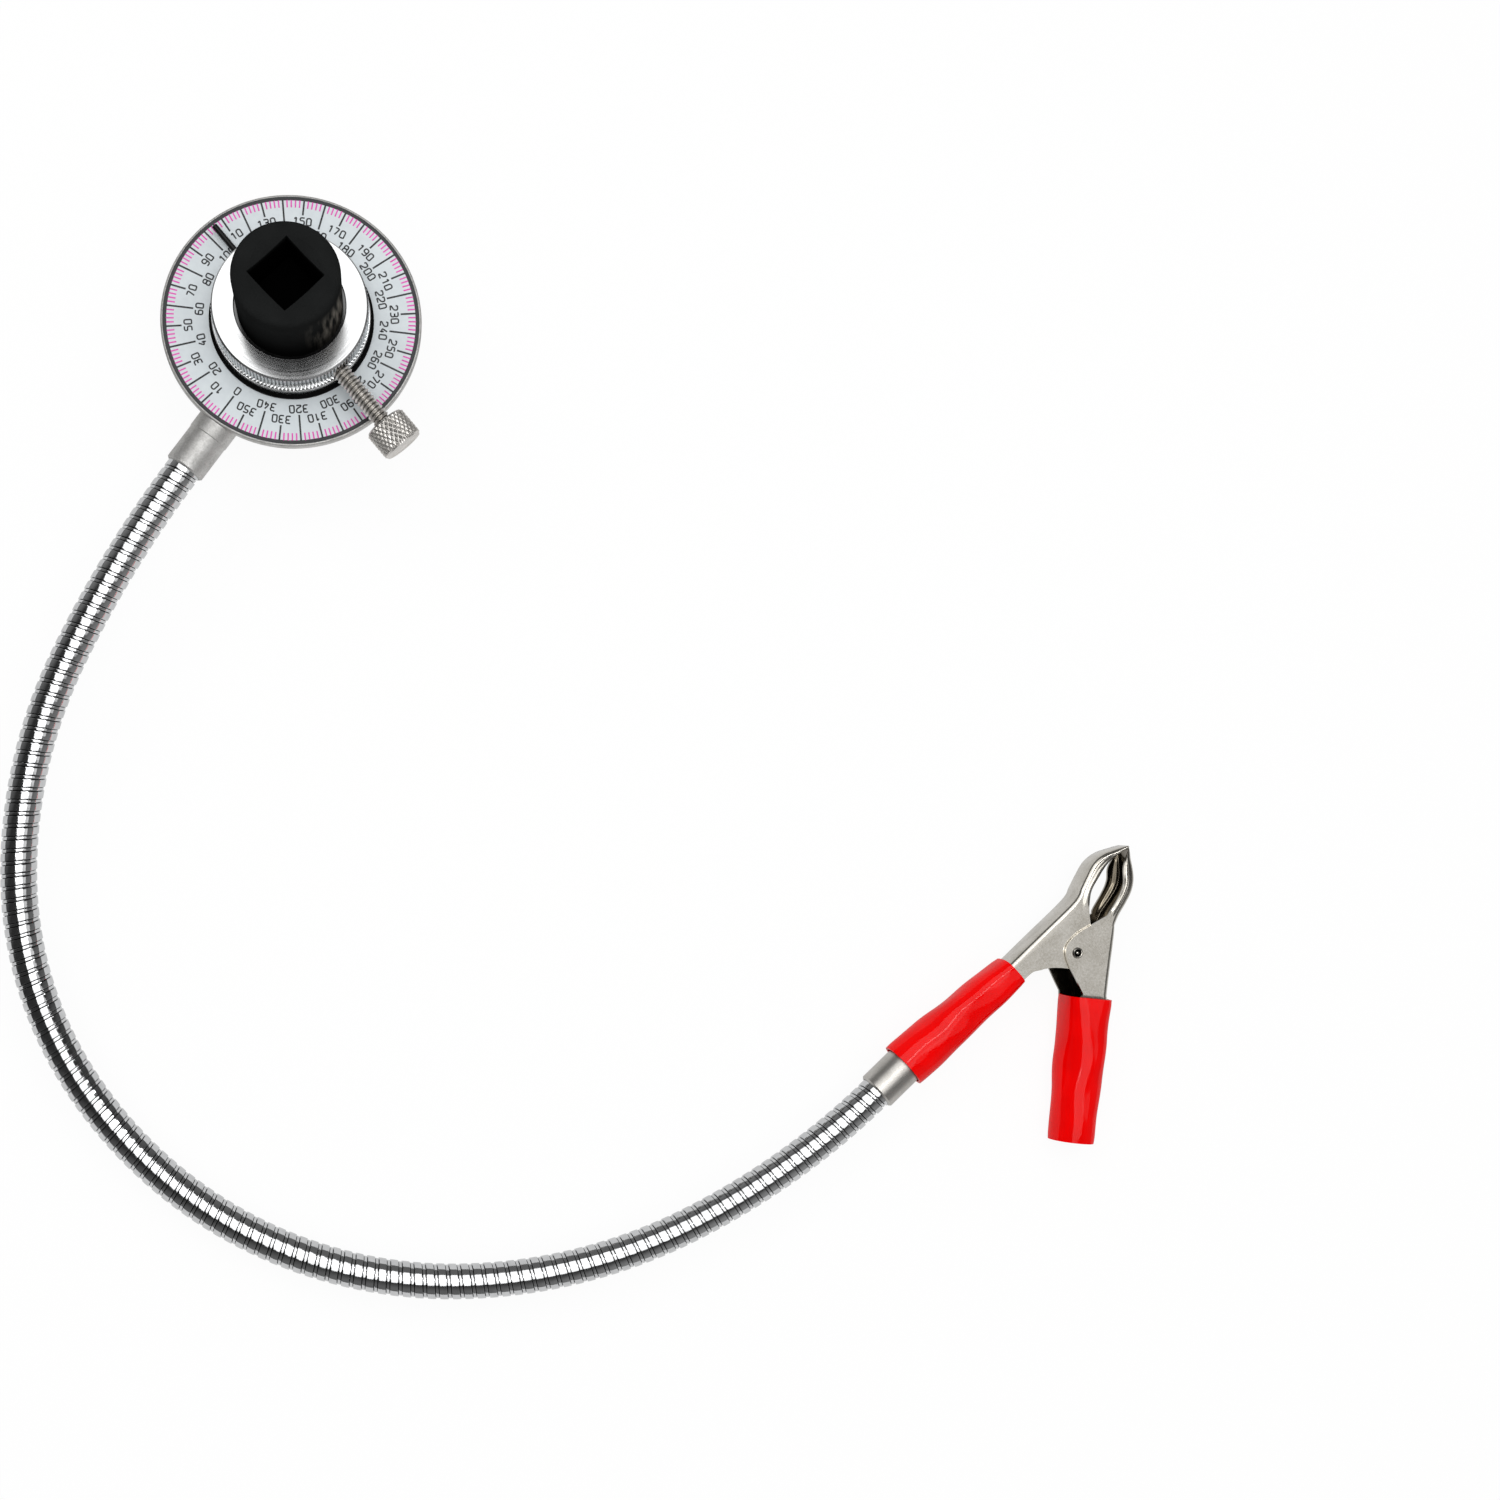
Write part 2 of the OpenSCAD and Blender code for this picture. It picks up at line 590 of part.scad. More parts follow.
module moving_jaw() {
    back = moving_back();
    hollow = [for (p = back) p + sheet_t * [-0.64, 0.77]];
    skin = 2 * (grip_wall + grip_fit);
    x = [grip_start - 1, grip_start + grip_len - handle_short];
    y = [grip_axis, grip_axis];
    w = [moving_grip_w[0] - skin, moving_grip_w[1] - skin];
    h = [jaw_w, moving_grip_h[1] - skin];
    wall = 2 * sheet_t;
    color("#c9c7c2") at_rivet() difference() {
        union() {
            difference() {
                linear_extrude(height = jaw_w, center = true) polygon(concat(back, moving_front()));
                linear_extrude(height = jaw_w - wall, center = true)
                    polygon(concat(hollow, [[-14, -6], [-6, 8], [nose_len - 12, 8], [nose_len - 1, rivet_offset + 2]]));
            }
            on_handle() difference() {
                taper(x, y, w, h, [1.2, 2]);
                taper([x[0] - 0.5, x[1] + 0.5], y, [w[0] - wall, w[1] - wall], [h[0] - wall, h[1] - wall], [0.6, 1]);
                translate([x[0] - 1, y[0] - w[0], -h[1] / 2 + sheet_t]) cube([x[1] - x[0] + 2, w[0], h[1] - wall]);
            }
        }
        jaw_holes();
    }
}

module jaw_rivet() {
    half = jaw_w / 2 + face_fit;
    rim = 0.3;
    color("#b9b7b3") at_rivet() rotate_extrude()
        polygon([[rivet_bore_d / 2, -half - rivet_head_t], [rivet_head_d / 2 - rim, -half - rivet_head_t],
            [rivet_head_d / 2, -half - rivet_head_t + rim], [rivet_head_d / 2, -half], [rivet_d / 2, -half],
            [rivet_d / 2, half], [rivet_head_d / 2, half], [rivet_head_d / 2, half + rivet_head_t - rim],
            [rivet_head_d / 2 - rim, half + rivet_head_t], [rivet_bore_d / 2, half + rivet_head_t]]);
}

module torsion_spring() {
    clear = 0.3;
    reach = grip_start + 2;
    leg_a = [handle_far + 2, rivet_offset + 0.9 - sheet_t - spring_wire / 2 - clear];
    rest = moving_grip_w[0] / 2 - grip_wall - grip_fit - 2 * sheet_t - spring_wire / 2 - clear;
    turn_b = 180 + handle_angle;
    leg_b = [reach * cos(turn_b) - (grip_axis + rest) * sin(turn_b),
        reach * sin(turn_b) + (grip_axis + rest) * cos(turn_b)];
    a0 = atan2(leg_a.y, leg_a.x) - acos(spring_r / norm(leg_a));
    a1 = atan2(leg_b.y, leg_b.x) + acos(spring_r / norm(leg_b)) - 360 * spring_turns;
    rise = (spring_wire + 0.1) * (a0 - a1) / 360;
    steps = 14 * spring_turns;
    coil = [for (i = [0:steps]) let (a = a0 + (a1 - a0) * i / steps)
        [spring_r * cos(a), spring_r * sin(a), rise * (i / steps - 0.5)]];
    path = concat([[leg_a.x, leg_a.y, -rise / 2]], coil, [[leg_b.x, leg_b.y, rise / 2]]);
    color("#8d8c8a") at_rivet() wire(path, spring_wire);
}

module fixed_grip() {
    x = [ferrule_len, fixed_grip_end];
    wall = 2 * grip_wall;
    color("#e21512") in_clip() difference() {
        taper(x, fixed_grip_y, fixed_grip_w, fixed_grip_h, [fixed_grip_w[0] / 2 - 0.01, grip_corner]);
        taper([x[0] - 0.5, x[1] + 0.5], fixed_grip_y, [fixed_grip_w[0] - wall, fixed_grip_w[1] - wall],
            [fixed_grip_h[0] - wall, fixed_grip_h[1] - wall],
            [fixed_grip_w[0] / 2 - grip_wall - 0.01, 1.2]);
    }
}

module moving_grip() {
    x = [grip_start, grip_start + grip_len];
    y = [grip_axis, grip_axis];
    wall = 2 * grip_wall;
    color("#e21512") at_rivet() on_handle() difference() {
        taper(x, y, moving_grip_w, moving_grip_h, [grip_corner, grip_corner]);
        taper([x[0] - 0.5, x[1] + 0.5], y, [moving_grip_w[0] - wall, moving_grip_w[1] - wall],
            [moving_grip_h[0] - wall, moving_grip_h[1] - wall], [1.2, 2]);
    }
}

drive_body();
detent_ball();
detent_spring();
retaining_ring();
thrust_washer();
dial_housing();
dial_plate();
hub_bush();
slip_washer();
pointer_ring();
pointer_rod();
clamp_pad();
thumbscrew_stud();
thumbscrew_head();
gooseneck_1();
gooseneck_2();
gooseneck_3();
gooseneck_4();
gooseneck_5();
gooseneck_6();
gooseneck_7();
end_ferrule();
fixed_jaw();
moving_jaw();
jaw_rivet();
torsion_spring();
fixed_grip();
moving_grip();
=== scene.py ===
"""Looks of the torque angle gauge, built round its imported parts, in metres and in the parts' own frame."""

import json
import logging
import math
from dataclasses import dataclass, field, replace
from enum import Enum
from typing import Any, Callable, Sequence

import bmesh
import bpy
from mathutils import Matrix, Vector
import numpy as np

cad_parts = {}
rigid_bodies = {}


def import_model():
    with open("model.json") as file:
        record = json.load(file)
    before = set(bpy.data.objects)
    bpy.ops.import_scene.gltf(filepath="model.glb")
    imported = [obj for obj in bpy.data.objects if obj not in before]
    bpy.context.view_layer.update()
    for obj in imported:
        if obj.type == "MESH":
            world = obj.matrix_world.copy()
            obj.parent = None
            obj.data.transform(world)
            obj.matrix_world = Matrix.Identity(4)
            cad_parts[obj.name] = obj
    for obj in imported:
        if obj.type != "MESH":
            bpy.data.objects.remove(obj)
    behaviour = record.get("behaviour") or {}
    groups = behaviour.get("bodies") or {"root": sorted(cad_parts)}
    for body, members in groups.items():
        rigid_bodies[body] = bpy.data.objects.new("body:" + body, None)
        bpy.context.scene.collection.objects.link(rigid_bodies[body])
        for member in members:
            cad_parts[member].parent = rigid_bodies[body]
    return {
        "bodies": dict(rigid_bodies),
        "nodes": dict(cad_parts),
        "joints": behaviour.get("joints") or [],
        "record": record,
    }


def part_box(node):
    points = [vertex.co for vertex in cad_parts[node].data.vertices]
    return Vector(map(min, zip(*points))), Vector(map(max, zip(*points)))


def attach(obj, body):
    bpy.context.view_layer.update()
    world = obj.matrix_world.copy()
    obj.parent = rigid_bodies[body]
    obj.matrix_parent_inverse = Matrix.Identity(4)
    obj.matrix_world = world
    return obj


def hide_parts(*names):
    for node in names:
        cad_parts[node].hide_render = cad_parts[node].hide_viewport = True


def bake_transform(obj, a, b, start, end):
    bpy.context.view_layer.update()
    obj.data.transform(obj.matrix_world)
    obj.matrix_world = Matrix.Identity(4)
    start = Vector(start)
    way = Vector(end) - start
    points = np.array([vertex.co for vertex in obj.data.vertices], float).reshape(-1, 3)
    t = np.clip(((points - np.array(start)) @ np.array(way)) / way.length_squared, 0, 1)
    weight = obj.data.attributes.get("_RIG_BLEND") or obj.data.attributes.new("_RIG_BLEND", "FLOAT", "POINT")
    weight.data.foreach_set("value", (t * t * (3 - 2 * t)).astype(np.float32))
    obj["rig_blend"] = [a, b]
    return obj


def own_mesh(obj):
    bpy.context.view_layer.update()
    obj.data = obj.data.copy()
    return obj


LOG = logging.getLogger("gauge")
MM = 0.001
UP = Vector((0, 0, 1))
# Name of the attribute that says how deep a point lies in a groove, from 0 to 1, by which the materials paint
# shade into grooves, folds and holes
RECESS = "recess"
Point = tuple[float, float]
Shape = bmesh.types.BMesh
Socket = bpy.types.NodeSocket
Tree = bpy.types.NodeTree


def linear(colour: str) -> tuple[float, float, float, float]:
    """Turns an sRGB hex colour into linear light.

    Args:
        colour: Six hex digits after a hash sign.

    Returns:
        Red, green, blue and an alpha of one.
    """
    parts = [int(colour[i:i + 2], 16) / 255 for i in (1, 3, 5)]
    red, green, blue = (c / 12.92 if c <= 0.04045 else ((c + 0.055) / 1.055) ** 2.4 for c in parts)
    return red, green, blue, 1.0


def add(tree: Tree, kind: str, inputs: dict | None = None, out: int | str | None = 0,
        **settings: Any) -> Any:
    """Adds one node, with its settings, its values and its links.

    Args:
        tree: Node tree that gets the node.
        kind: Blender's name of the node type.
        inputs: Value or socket for each input, by the input's name or number.
        out: Output to return, by name or number, or None for the node itself.
        **settings: Attributes of the node.

    Returns:
        The output socket that was asked for, or the node.
    """
    node = tree.nodes.new(kind)
    for key, value in settings.items():
        setattr(node, key, value)
    for key, value in (inputs or {}).items():
        if isinstance(value, Socket):
            tree.links.new(value, node.inputs[key])
        else:
            node.inputs[key].default_value = value
    return node if out is None else node.outputs[out]


def calc(tree: Tree, operation: str, *values: Any) -> Socket:
    """Adds a sum of numbers."""
    return add(tree, "ShaderNodeMath", dict(enumerate(values)), operation=operation)


def vector_calc(tree: Tree, operation: str, *values: Any) -> Socket:
    """Adds a sum of vectors, whose result is a number for a length or a dot product."""
    out = "Value" if operation in ("LENGTH", "DOT_PRODUCT") else 0
    return add(tree, "ShaderNodeVectorMath", dict(enumerate(values)), out=out, operation=operation)


def remap(tree: Tree, value: Any, low: Any, high: Any, at_low: Any = 0.0,
          at_high: Any = 1.0) -> Socket:
    """Adds a clamped ramp, from at_low where the value is low to at_high where it is high."""
    return add(tree, "ShaderNodeMapRange", {"Value": value, "From Min": low, "From Max": high,
                                            "To Min": at_low, "To Max": at_high})


def mix_colour(tree: Tree, share: Any, one: Any, two: Any) -> Socket:
    """Adds a mix of two colours, all of the second at a share of one."""
    return add(tree, "ShaderNodeMix", {0: share, 6: one, 7: two}, out=2, data_type="RGBA")


# Finishes


class Mark(Enum):
    """How a surface was made, which gives it its fine pattern."""

    GRAIN = "grain"
    LATHE = "lathe"
    SMEAR = "smear"


@dataclass(frozen=True)
class Finish:
    """A material by what it is and how its face was made.

    The pattern is read in Object coordinates, so that it stays on the piece from every side.
    """

    name: str
    colour: str
    shade: str
    metallic: float = 1.0
    roughness: float = 0.4
    spread: float = 0.1
    mark: Mark = Mark.GRAIN
    mark_mm: float = 0.3
    depth_mm: float = 0.02
    patch_mm: float = 6.0
    coat: float = 0.0
    specular: float = 0.5
    # Colour of the painted shade in grooves, folds and holes, laid on by the recess attribute
    recess: str = ""

    def build(self) -> bpy.types.Material:
        """Makes the material.

        Returns:
            The material, named for what the real one is.
        """
        made = bpy.data.materials.new(self.name)
        made.use_nodes = True
        tree = made.node_tree
        tree.nodes.clear()
        place = add(tree, "ShaderNodeTexCoord", out="Object")
        fine = self.pattern(tree, place)
        patch = add(tree, "ShaderNodeTexNoise", {
            "Vector": place, "Scale": 1 / (self.patch_mm * MM), "Detail": 4.0})
        share = add(tree, "ShaderNodeMix", {0: 0.5, 2: fine, 3: patch}, data_type="FLOAT")
        hue = self.hue(tree, place, share)
        rough = remap(tree, share, 0.3, 0.7, self.roughness - self.spread, self.roughness + self.spread)
        bump = add(tree, "ShaderNodeBump", {
            "Height": fine, "Strength": 1.0, "Distance": self.depth_mm * MM})
        shader = add(tree, "ShaderNodeBsdfPrincipled", {
            "Base Color": hue, "Metallic": self.metallic, "Roughness": rough, "Normal": bump,
            "Coat Weight": self.coat, "Coat Roughness": 0.1, "Specular IOR Level": self.specular})
        add(tree, "ShaderNodeOutputMaterial", {"Surface": shader}, out=None)
        return made

    def pattern(self, tree: Tree, place: Socket) -> Socket:
        """Adds the fine pattern of the surface.

        Args:
            tree: The material's node tree.
            place: Object coordinates.

        Returns:
            A height from 0 to 1.
        """
        scale = 1 / (self.mark_mm * MM)
        if self.mark is Mark.LATHE:
            flat = vector_calc(tree, "MULTIPLY", place, (1, 1, 0))
            reach = vector_calc(tree, "LENGTH", flat)
            return add(tree, "ShaderNodeTexNoise", {"W": reach, "Scale": scale, "Detail": 2.0},
                       noise_dimensions="1D")
        detail = 1.0 if self.mark is Mark.SMEAR else 3.0
        return add(tree, "ShaderNodeTexNoise", {"Vector": place, "Scale": scale, "Detail": detail})

    def hue(self, tree: Tree, place: Socket,
            share: Socket) -> Socket:
        """Adds the colour, which wanders between the two colours of the finish.

        Args:
            tree: The material's node tree.
            place: Object coordinates.
            share: Pattern from 0 to 1.

        Returns:
            The colour.
        """
        ramp = remap(tree, share, 0.35, 0.65)
        face = mix_colour(tree, ramp, linear(self.colour), linear(self.shade))
        if not self.recess:
            return face
        # Painted shade: the colour goes towards the recess colour as far as the recess attribute says
        deep = add(tree, "ShaderNodeAttribute", out="Fac", attribute_name=RECESS)
        return mix_colour(tree, deep, face, linear(self.recess))


@dataclass(frozen=True)
class WornFinish(Finish):
    """A dark coating, rubbed through to the steel low down on one side, with painted shade: black deep in its
    socket and towards its foot.
    """

    bare: str = "#a09a90"
    worn_from: float = 0.0
    worn_to: float = 0.0
    worn_side: tuple[float, float, float] = (1.0, 0.0, 0.0)
    worn_reach: Point = (7.5 * MM, 12.5 * MM)
    streaks_per_m: tuple[float, float, float] = (700, 700, 90)
    # Colour of the painted shade in the socket and at the foot
    oiled: str = "#040404"
    socket_r: float = 9.5 * MM
    # Levels over which the socket's painted shade grows, going down
    oiled_from: float = 0.0
    oiled_to: float = 0.0
    # Levels and strength of the painted shade that darkens the drive towards its foot
    foot_from: float = 0.0
    foot_to: float = 0.0
    foot_share: float = 0.92
    dial_level: float = 33.0 * MM

    def hue(self, tree: Tree, place: Socket,
            share: Socket) -> Socket:
        """Adds the coating's colour, the bare colour where it is rubbed, and the painted shade in the socket
        and towards the foot.
        """
        coat = super().hue(tree, place, share)
        height = add(tree, "ShaderNodeSeparateXYZ", {0: place}, out=2)
        fade = remap(tree, height, self.worn_from, self.worn_to, 1.0, 0.0)
        long = vector_calc(tree, "MULTIPLY", place, self.streaks_per_m)
        streak = add(tree, "ShaderNodeTexNoise", {"Vector": long, "Scale": 1.0, "Detail": 5.0})
        rubbed = remap(tree, streak, 0.42, 0.75)
        reach = vector_calc(tree, "DOT_PRODUCT", place, self.worn_side)
        side = remap(tree, reach, *self.worn_reach)
        low = calc(tree, "MULTIPLY", fade, side)
        both = calc(tree, "MULTIPLY", low, rubbed)
        outside = mix_colour(tree, both, coat, linear(self.bare))
        # Painted shade: near black deeper in the socket, and fading in towards the foot above the dial, where
        # the drive stands in the ring
        flat = vector_calc(tree, "MULTIPLY", place, (1, 1, 0))
        from_axis = vector_calc(tree, "LENGTH", flat)
        within = calc(tree, "LESS_THAN", from_axis, self.socket_r)
        sunk = remap(tree, height, self.oiled_to, self.oiled_from, 1.0, 0.0)
        inside = calc(tree, "MULTIPLY", within, sunk)
        foot = remap(tree, height, self.foot_from, self.foot_to, self.foot_share, 0.0)
        above = calc(tree, "GREATER_THAN", height, self.dial_level)
        foot = calc(tree, "MULTIPLY", foot, above)
        black = calc(tree, "MAXIMUM", inside, foot)
        return mix_colour(tree, black, outside, linear(self.oiled))


# Phosphated steel: near black and matte, with an even fine crystal grain, and painted shade deep in its socket
# and towards its foot
PHOSPHATE = WornFinish("black_phosphate_steel", "#191a1a", "#1f2020", 0.0, 0.5, 0.06, Mark.GRAIN, 0.25,
                       0.012, 5.0, specular=0.0, worn_from=0.056, worn_to=0.07, worn_side=(0.95, 0.3, 0.0),
                       oiled_from=0.0722, oiled_to=0.0695, foot_from=0.049, foot_to=0.066)
# Turned aluminium: bright, with fine rings from the lathe tool, and painted shade in its knurl's grooves and
# its bore
ALUMINIUM = Finish("turned_aluminium", "#eceded", "#d9dadb", 1.0, 0.16, 0.05, Mark.LATHE, 0.5, 0.0001, 7.0,
                   recess="#0b0b0a")
# Bead-blasted cast zinc: dull silver grain of fine pits
ZINC = Finish("bead_blasted_zinc", "#e4e3e1", "#c6c5c2", 1.0, 0.58, 0.06, Mark.GRAIN, 0.45, 0.06, 4.0)
# Screen-printed plate: cool white enamel, smooth
ENAMEL = Finish("white_scale_enamel", "#d3dadd", "#cdd4d8", 0.0, 0.32, 0.04, Mark.SMEAR, 1.5, 0.002, 9.0)
# Printing inks: flat and slightly glossy
INK_BLACK = Finish("black_printing_ink", "#1b1d20", "#232529", 0.0, 0.4, 0.05, Mark.GRAIN, 0.2, 0.002, 3.0)
INK_RED = Finish("red_printing_ink", "#d738a4", "#e05cba", 0.0, 0.4, 0.05, Mark.GRAIN, 0.2, 0.002, 3.0)
# Moulded acetal: black and soft sheen
ACETAL = Finish("black_acetal", "#080808", "#0c0c0c", 0.0, 0.45, 0.05, Mark.GRAIN, 0.3, 0.004, 4.0,
                specular=0.02)
# Black oxide on a ground rod
OXIDE = Finish("black_oxide_steel", "#0a0a0b", "#121213", 0.0, 0.35, 0.08, Mark.GRAIN, 0.25, 0.005, 3.0,
               specular=0.3)
# Nickel plate over machined steel: warm grey and bright, with painted shade in the grooves of the thread and
# the knurl
NICKEL = Finish("nickel_plated_steel", "#f1eeea", "#dcd8d2", 1.0, 0.42, 0.08, Mark.GRAIN, 0.35, 0.006, 2.5,
                recess="#4a463f")
# Chrome plate over rolled strip: a mirror, with faint smears, and painted shade in the grooves between the
# turns
CHROME = Finish("chrome_plated_strip", "#dfe0e1", "#d2d3d4", 1.0, 0.1, 0.04, Mark.SMEAR, 2.0, 0.004, 12.0,
                recess="#08080a")
# Satin nickel on the drawn ferrule
SATIN = Finish("satin_nickel_ferrule", "#cfccc7", "#bbb8b2", 1.0, 0.36, 0.06, Mark.GRAIN, 0.3, 0.01, 4.0)
# Nickel plate over stamped sheet: bright, with a fine speckle, and painted shade on the inner side of the
# folded sheet
SHEET = Finish("nickel_plated_sheet", "#dcd8d0", "#b9b4aa", 1.0, 0.16, 0.06, Mark.GRAIN, 0.5, 0.0012, 5.0,
               recess="#6f685b")
# The same plate on the rolled rivet, with painted shade in its hole
RIVET = replace(SHEET, name="nickel_plated_rivet", recess="#0a0908")
# Drawn spring wire
WIRE = Finish("drawn_spring_wire", "#8f8d89", "#74726f", 1.0, 0.35, 0.08, Mark.GRAIN, 0.3, 0.01, 2.0)
# Sintered bronze of bush and washer
BRONZE = Finish("sintered_bronze", "#b48d52", "#9c7742", 1.0, 0.42, 0.08, Mark.GRAIN, 0.3, 0.01, 3.0)
# Soft brass of the clamp pad
BRASS = Finish("soft_brass", "#cda75a", "#b38f48", 1.0, 0.38, 0.08, Mark.GRAIN, 0.3, 0.008, 3.0)
# Oiled spring steel of the snap ring
DARK_STEEL = Finish("oiled_spring_steel", "#2b2b2c", "#3a3a3b", 1.0, 0.4, 0.08, Mark.GRAIN, 0.3, 0.01, 3.0)
# Dipped vinyl: glossy red with soft waves
VINYL = Finish("dipped_red_vinyl", "#f00202", "#e40101", 0.0, 0.34, 0.04, Mark.SMEAR, 6.0, 0.008, 14.0,
               coat=0.45, specular=0.0)


# Meshes


def piece(name: str, mesh: bpy.types.Mesh) -> bpy.types.Object:
    """Puts a mesh into the scene as a piece at the origin."""
    made = bpy.data.objects.new(name, mesh)
    bpy.context.scene.collection.objects.link(made)
    return made


def closed(name: str, shape: Shape, sharp_deg: float) -> bpy.types.Mesh:
    """Finishes a shape: one skin, open ends filled, normals outwards, smooth but for sharp edges.

    Args:
        name: Name of the mesh.
        shape: The shape, which is freed.
        sharp_deg: Edges that fold by more than this stay sharp.

    Returns:
        The finished mesh.
    """
    bmesh.ops.remove_doubles(shape, verts=shape.verts, dist=2e-6)
    bmesh.ops.dissolve_degenerate(shape, edges=shape.edges, dist=1e-7)
    bmesh.ops.holes_fill(shape, edges=[e for e in shape.edges if e.is_boundary], sides=0)
    bmesh.ops.recalc_face_normals(shape, faces=shape.faces)
    for face in shape.faces:
        face.smooth = True
    for edge in shape.edges:
        edge.smooth = len(edge.link_faces) == 2 and edge.calc_face_angle(0.0) < math.radians(sharp_deg)
    mesh = bpy.data.meshes.new(name)
    shape.to_mesh(mesh)
    shape.free()
    return mesh


def join(shape: Shape, other: Shape) -> None:
    """Moves all of one shape into another."""
    carrier = bpy.data.meshes.new("carrier")
    other.to_mesh(carrier)
    other.free()
    shape.from_mesh(carrier)
    bpy.data.meshes.remove(carrier)


def skin(shape: Shape, rows: Sequence[Sequence[Vector]], around: bool = True,
         recess: Callable[[int, int], float] | None = None) -> None:
    """Lays a skin of faces over rows of points.

    Args:
        shape: Shape that gets the faces.
        rows: Rows of as many points each.
        around: Whether each row closes on itself.
        recess: Gives the recess of a point by its row and its number in the row.
    """
    layers = shape.verts.layers.float
    layer = layers.get(RECESS) or layers.new(RECESS)
    grid = [[shape.verts.new(p) for p in row] for row in rows]
    count = len(rows[0])
    if recess:
        for k, line in enumerate(grid):
            for i, vert in enumerate(line):
                vert[layer] = recess(k, i)
    for one, two in zip(grid, grid[1:]):
        for i in range(count if around else count - 1):
            j = (i + 1) % count
            shape.faces.new((one[i], one[j], two[j], two[i]))


def wire(path: Sequence[Vector], axis: Vector, radius: float, sides: int = 12) -> Shape:
    """Draws a round wire along a path that winds about an axis.

    Args:
        path: Points along the wire.
        axis: Direction that the wire winds about.
        radius: Radius of the wire.
        sides: Points round the wire.

    Returns:
        The wire, with open ends.
    """
    turns = [math.tau * n / sides for n in range(sides)]
    rows = []
    for k, place in enumerate(path):
        ahead = (path[min(k + 1, len(path) - 1)] - path[max(k - 1, 0)]).normalized()
        side = ahead.cross(axis).normalized()
        up = side.cross(ahead)
        rows.append([place + (side * math.cos(a) + up * math.sin(a)) * radius for a in turns])
    shape = bmesh.new()
    skin(shape, rows)
    return shape


def lathe(shape: Shape, profile: Sequence[Point], frame: Matrix, sides: int = 96,
          ring: bool = False, dark: Sequence[int] = ()) -> None:
    """Turns a profile about the Z axis of a frame.

    Args:
        shape: Shape that gets the faces.
        profile: Radius and height of each point, in millimetres.
        frame: Place of the axis, in metres.
        sides: Number of facets around.
        ring: Whether the profile closes on itself, as for a ring.
        dark: Numbers of the profile's points that lie in a recess, which get painted shade.
    """
    turns = [2 * math.pi * i / sides for i in range(sides)]
    rows = [[frame @ Vector((r * math.cos(a), r * math.sin(a), z)) for a in turns]
            for r, z in ((max(r, 1e-4) * MM, z * MM) for r, z in profile)]
    skin(shape, rows + rows[:1] if ring else rows, recess=lambda k, _: float(k % len(profile) in dark))


def along(origin: Vector, axis: Vector) -> Matrix:
    """Frame at a point with its Z along an axis."""
    return Matrix.Translation(origin) @ axis.to_track_quat("Z", "Y").to_matrix().to_4x4()


def through(points: Sequence[Point], count: int) -> list[Vector]:
    """Smooth curve through a few points of an outline, at even steps of length.

    Args:
        points: Points that the curve passes.
        count: Number of points to return.

    Returns:
        Points along the curve, in the plane.
    """
    p = [Vector((x, y, 0)) for x, y in points]
    fine = []
    for i in range(len(p) - 1):
        a, b, c, d = p[max(i - 1, 0)], p[i], p[i + 1], p[min(i + 2, len(p) - 1)]
        for k in range(12):
            t = k / 12
            fine.append((2 * b + (c - a) * t + (2 * a - 5 * b + 4 * c - d) * t ** 2
                         + (3 * b - a - 3 * c + d) * t ** 3) / 2)
    fine.append(p[-1])
    reach = [0.0]
    for one, two in zip(fine, fine[1:]):
        reach.append(reach[-1] + (two - one).length)
    even, at = [], 0
    for k in range(count):
        want = reach[-1] * k / (count - 1)
        while at < len(fine) - 2 and reach[at + 1] < want:
            at += 1
        even.append(fine[at].lerp(fine[at + 1], (want - reach[at]) / max(reach[at + 1] - reach[at], 1e-9)))
    return even


# Geometry node trees


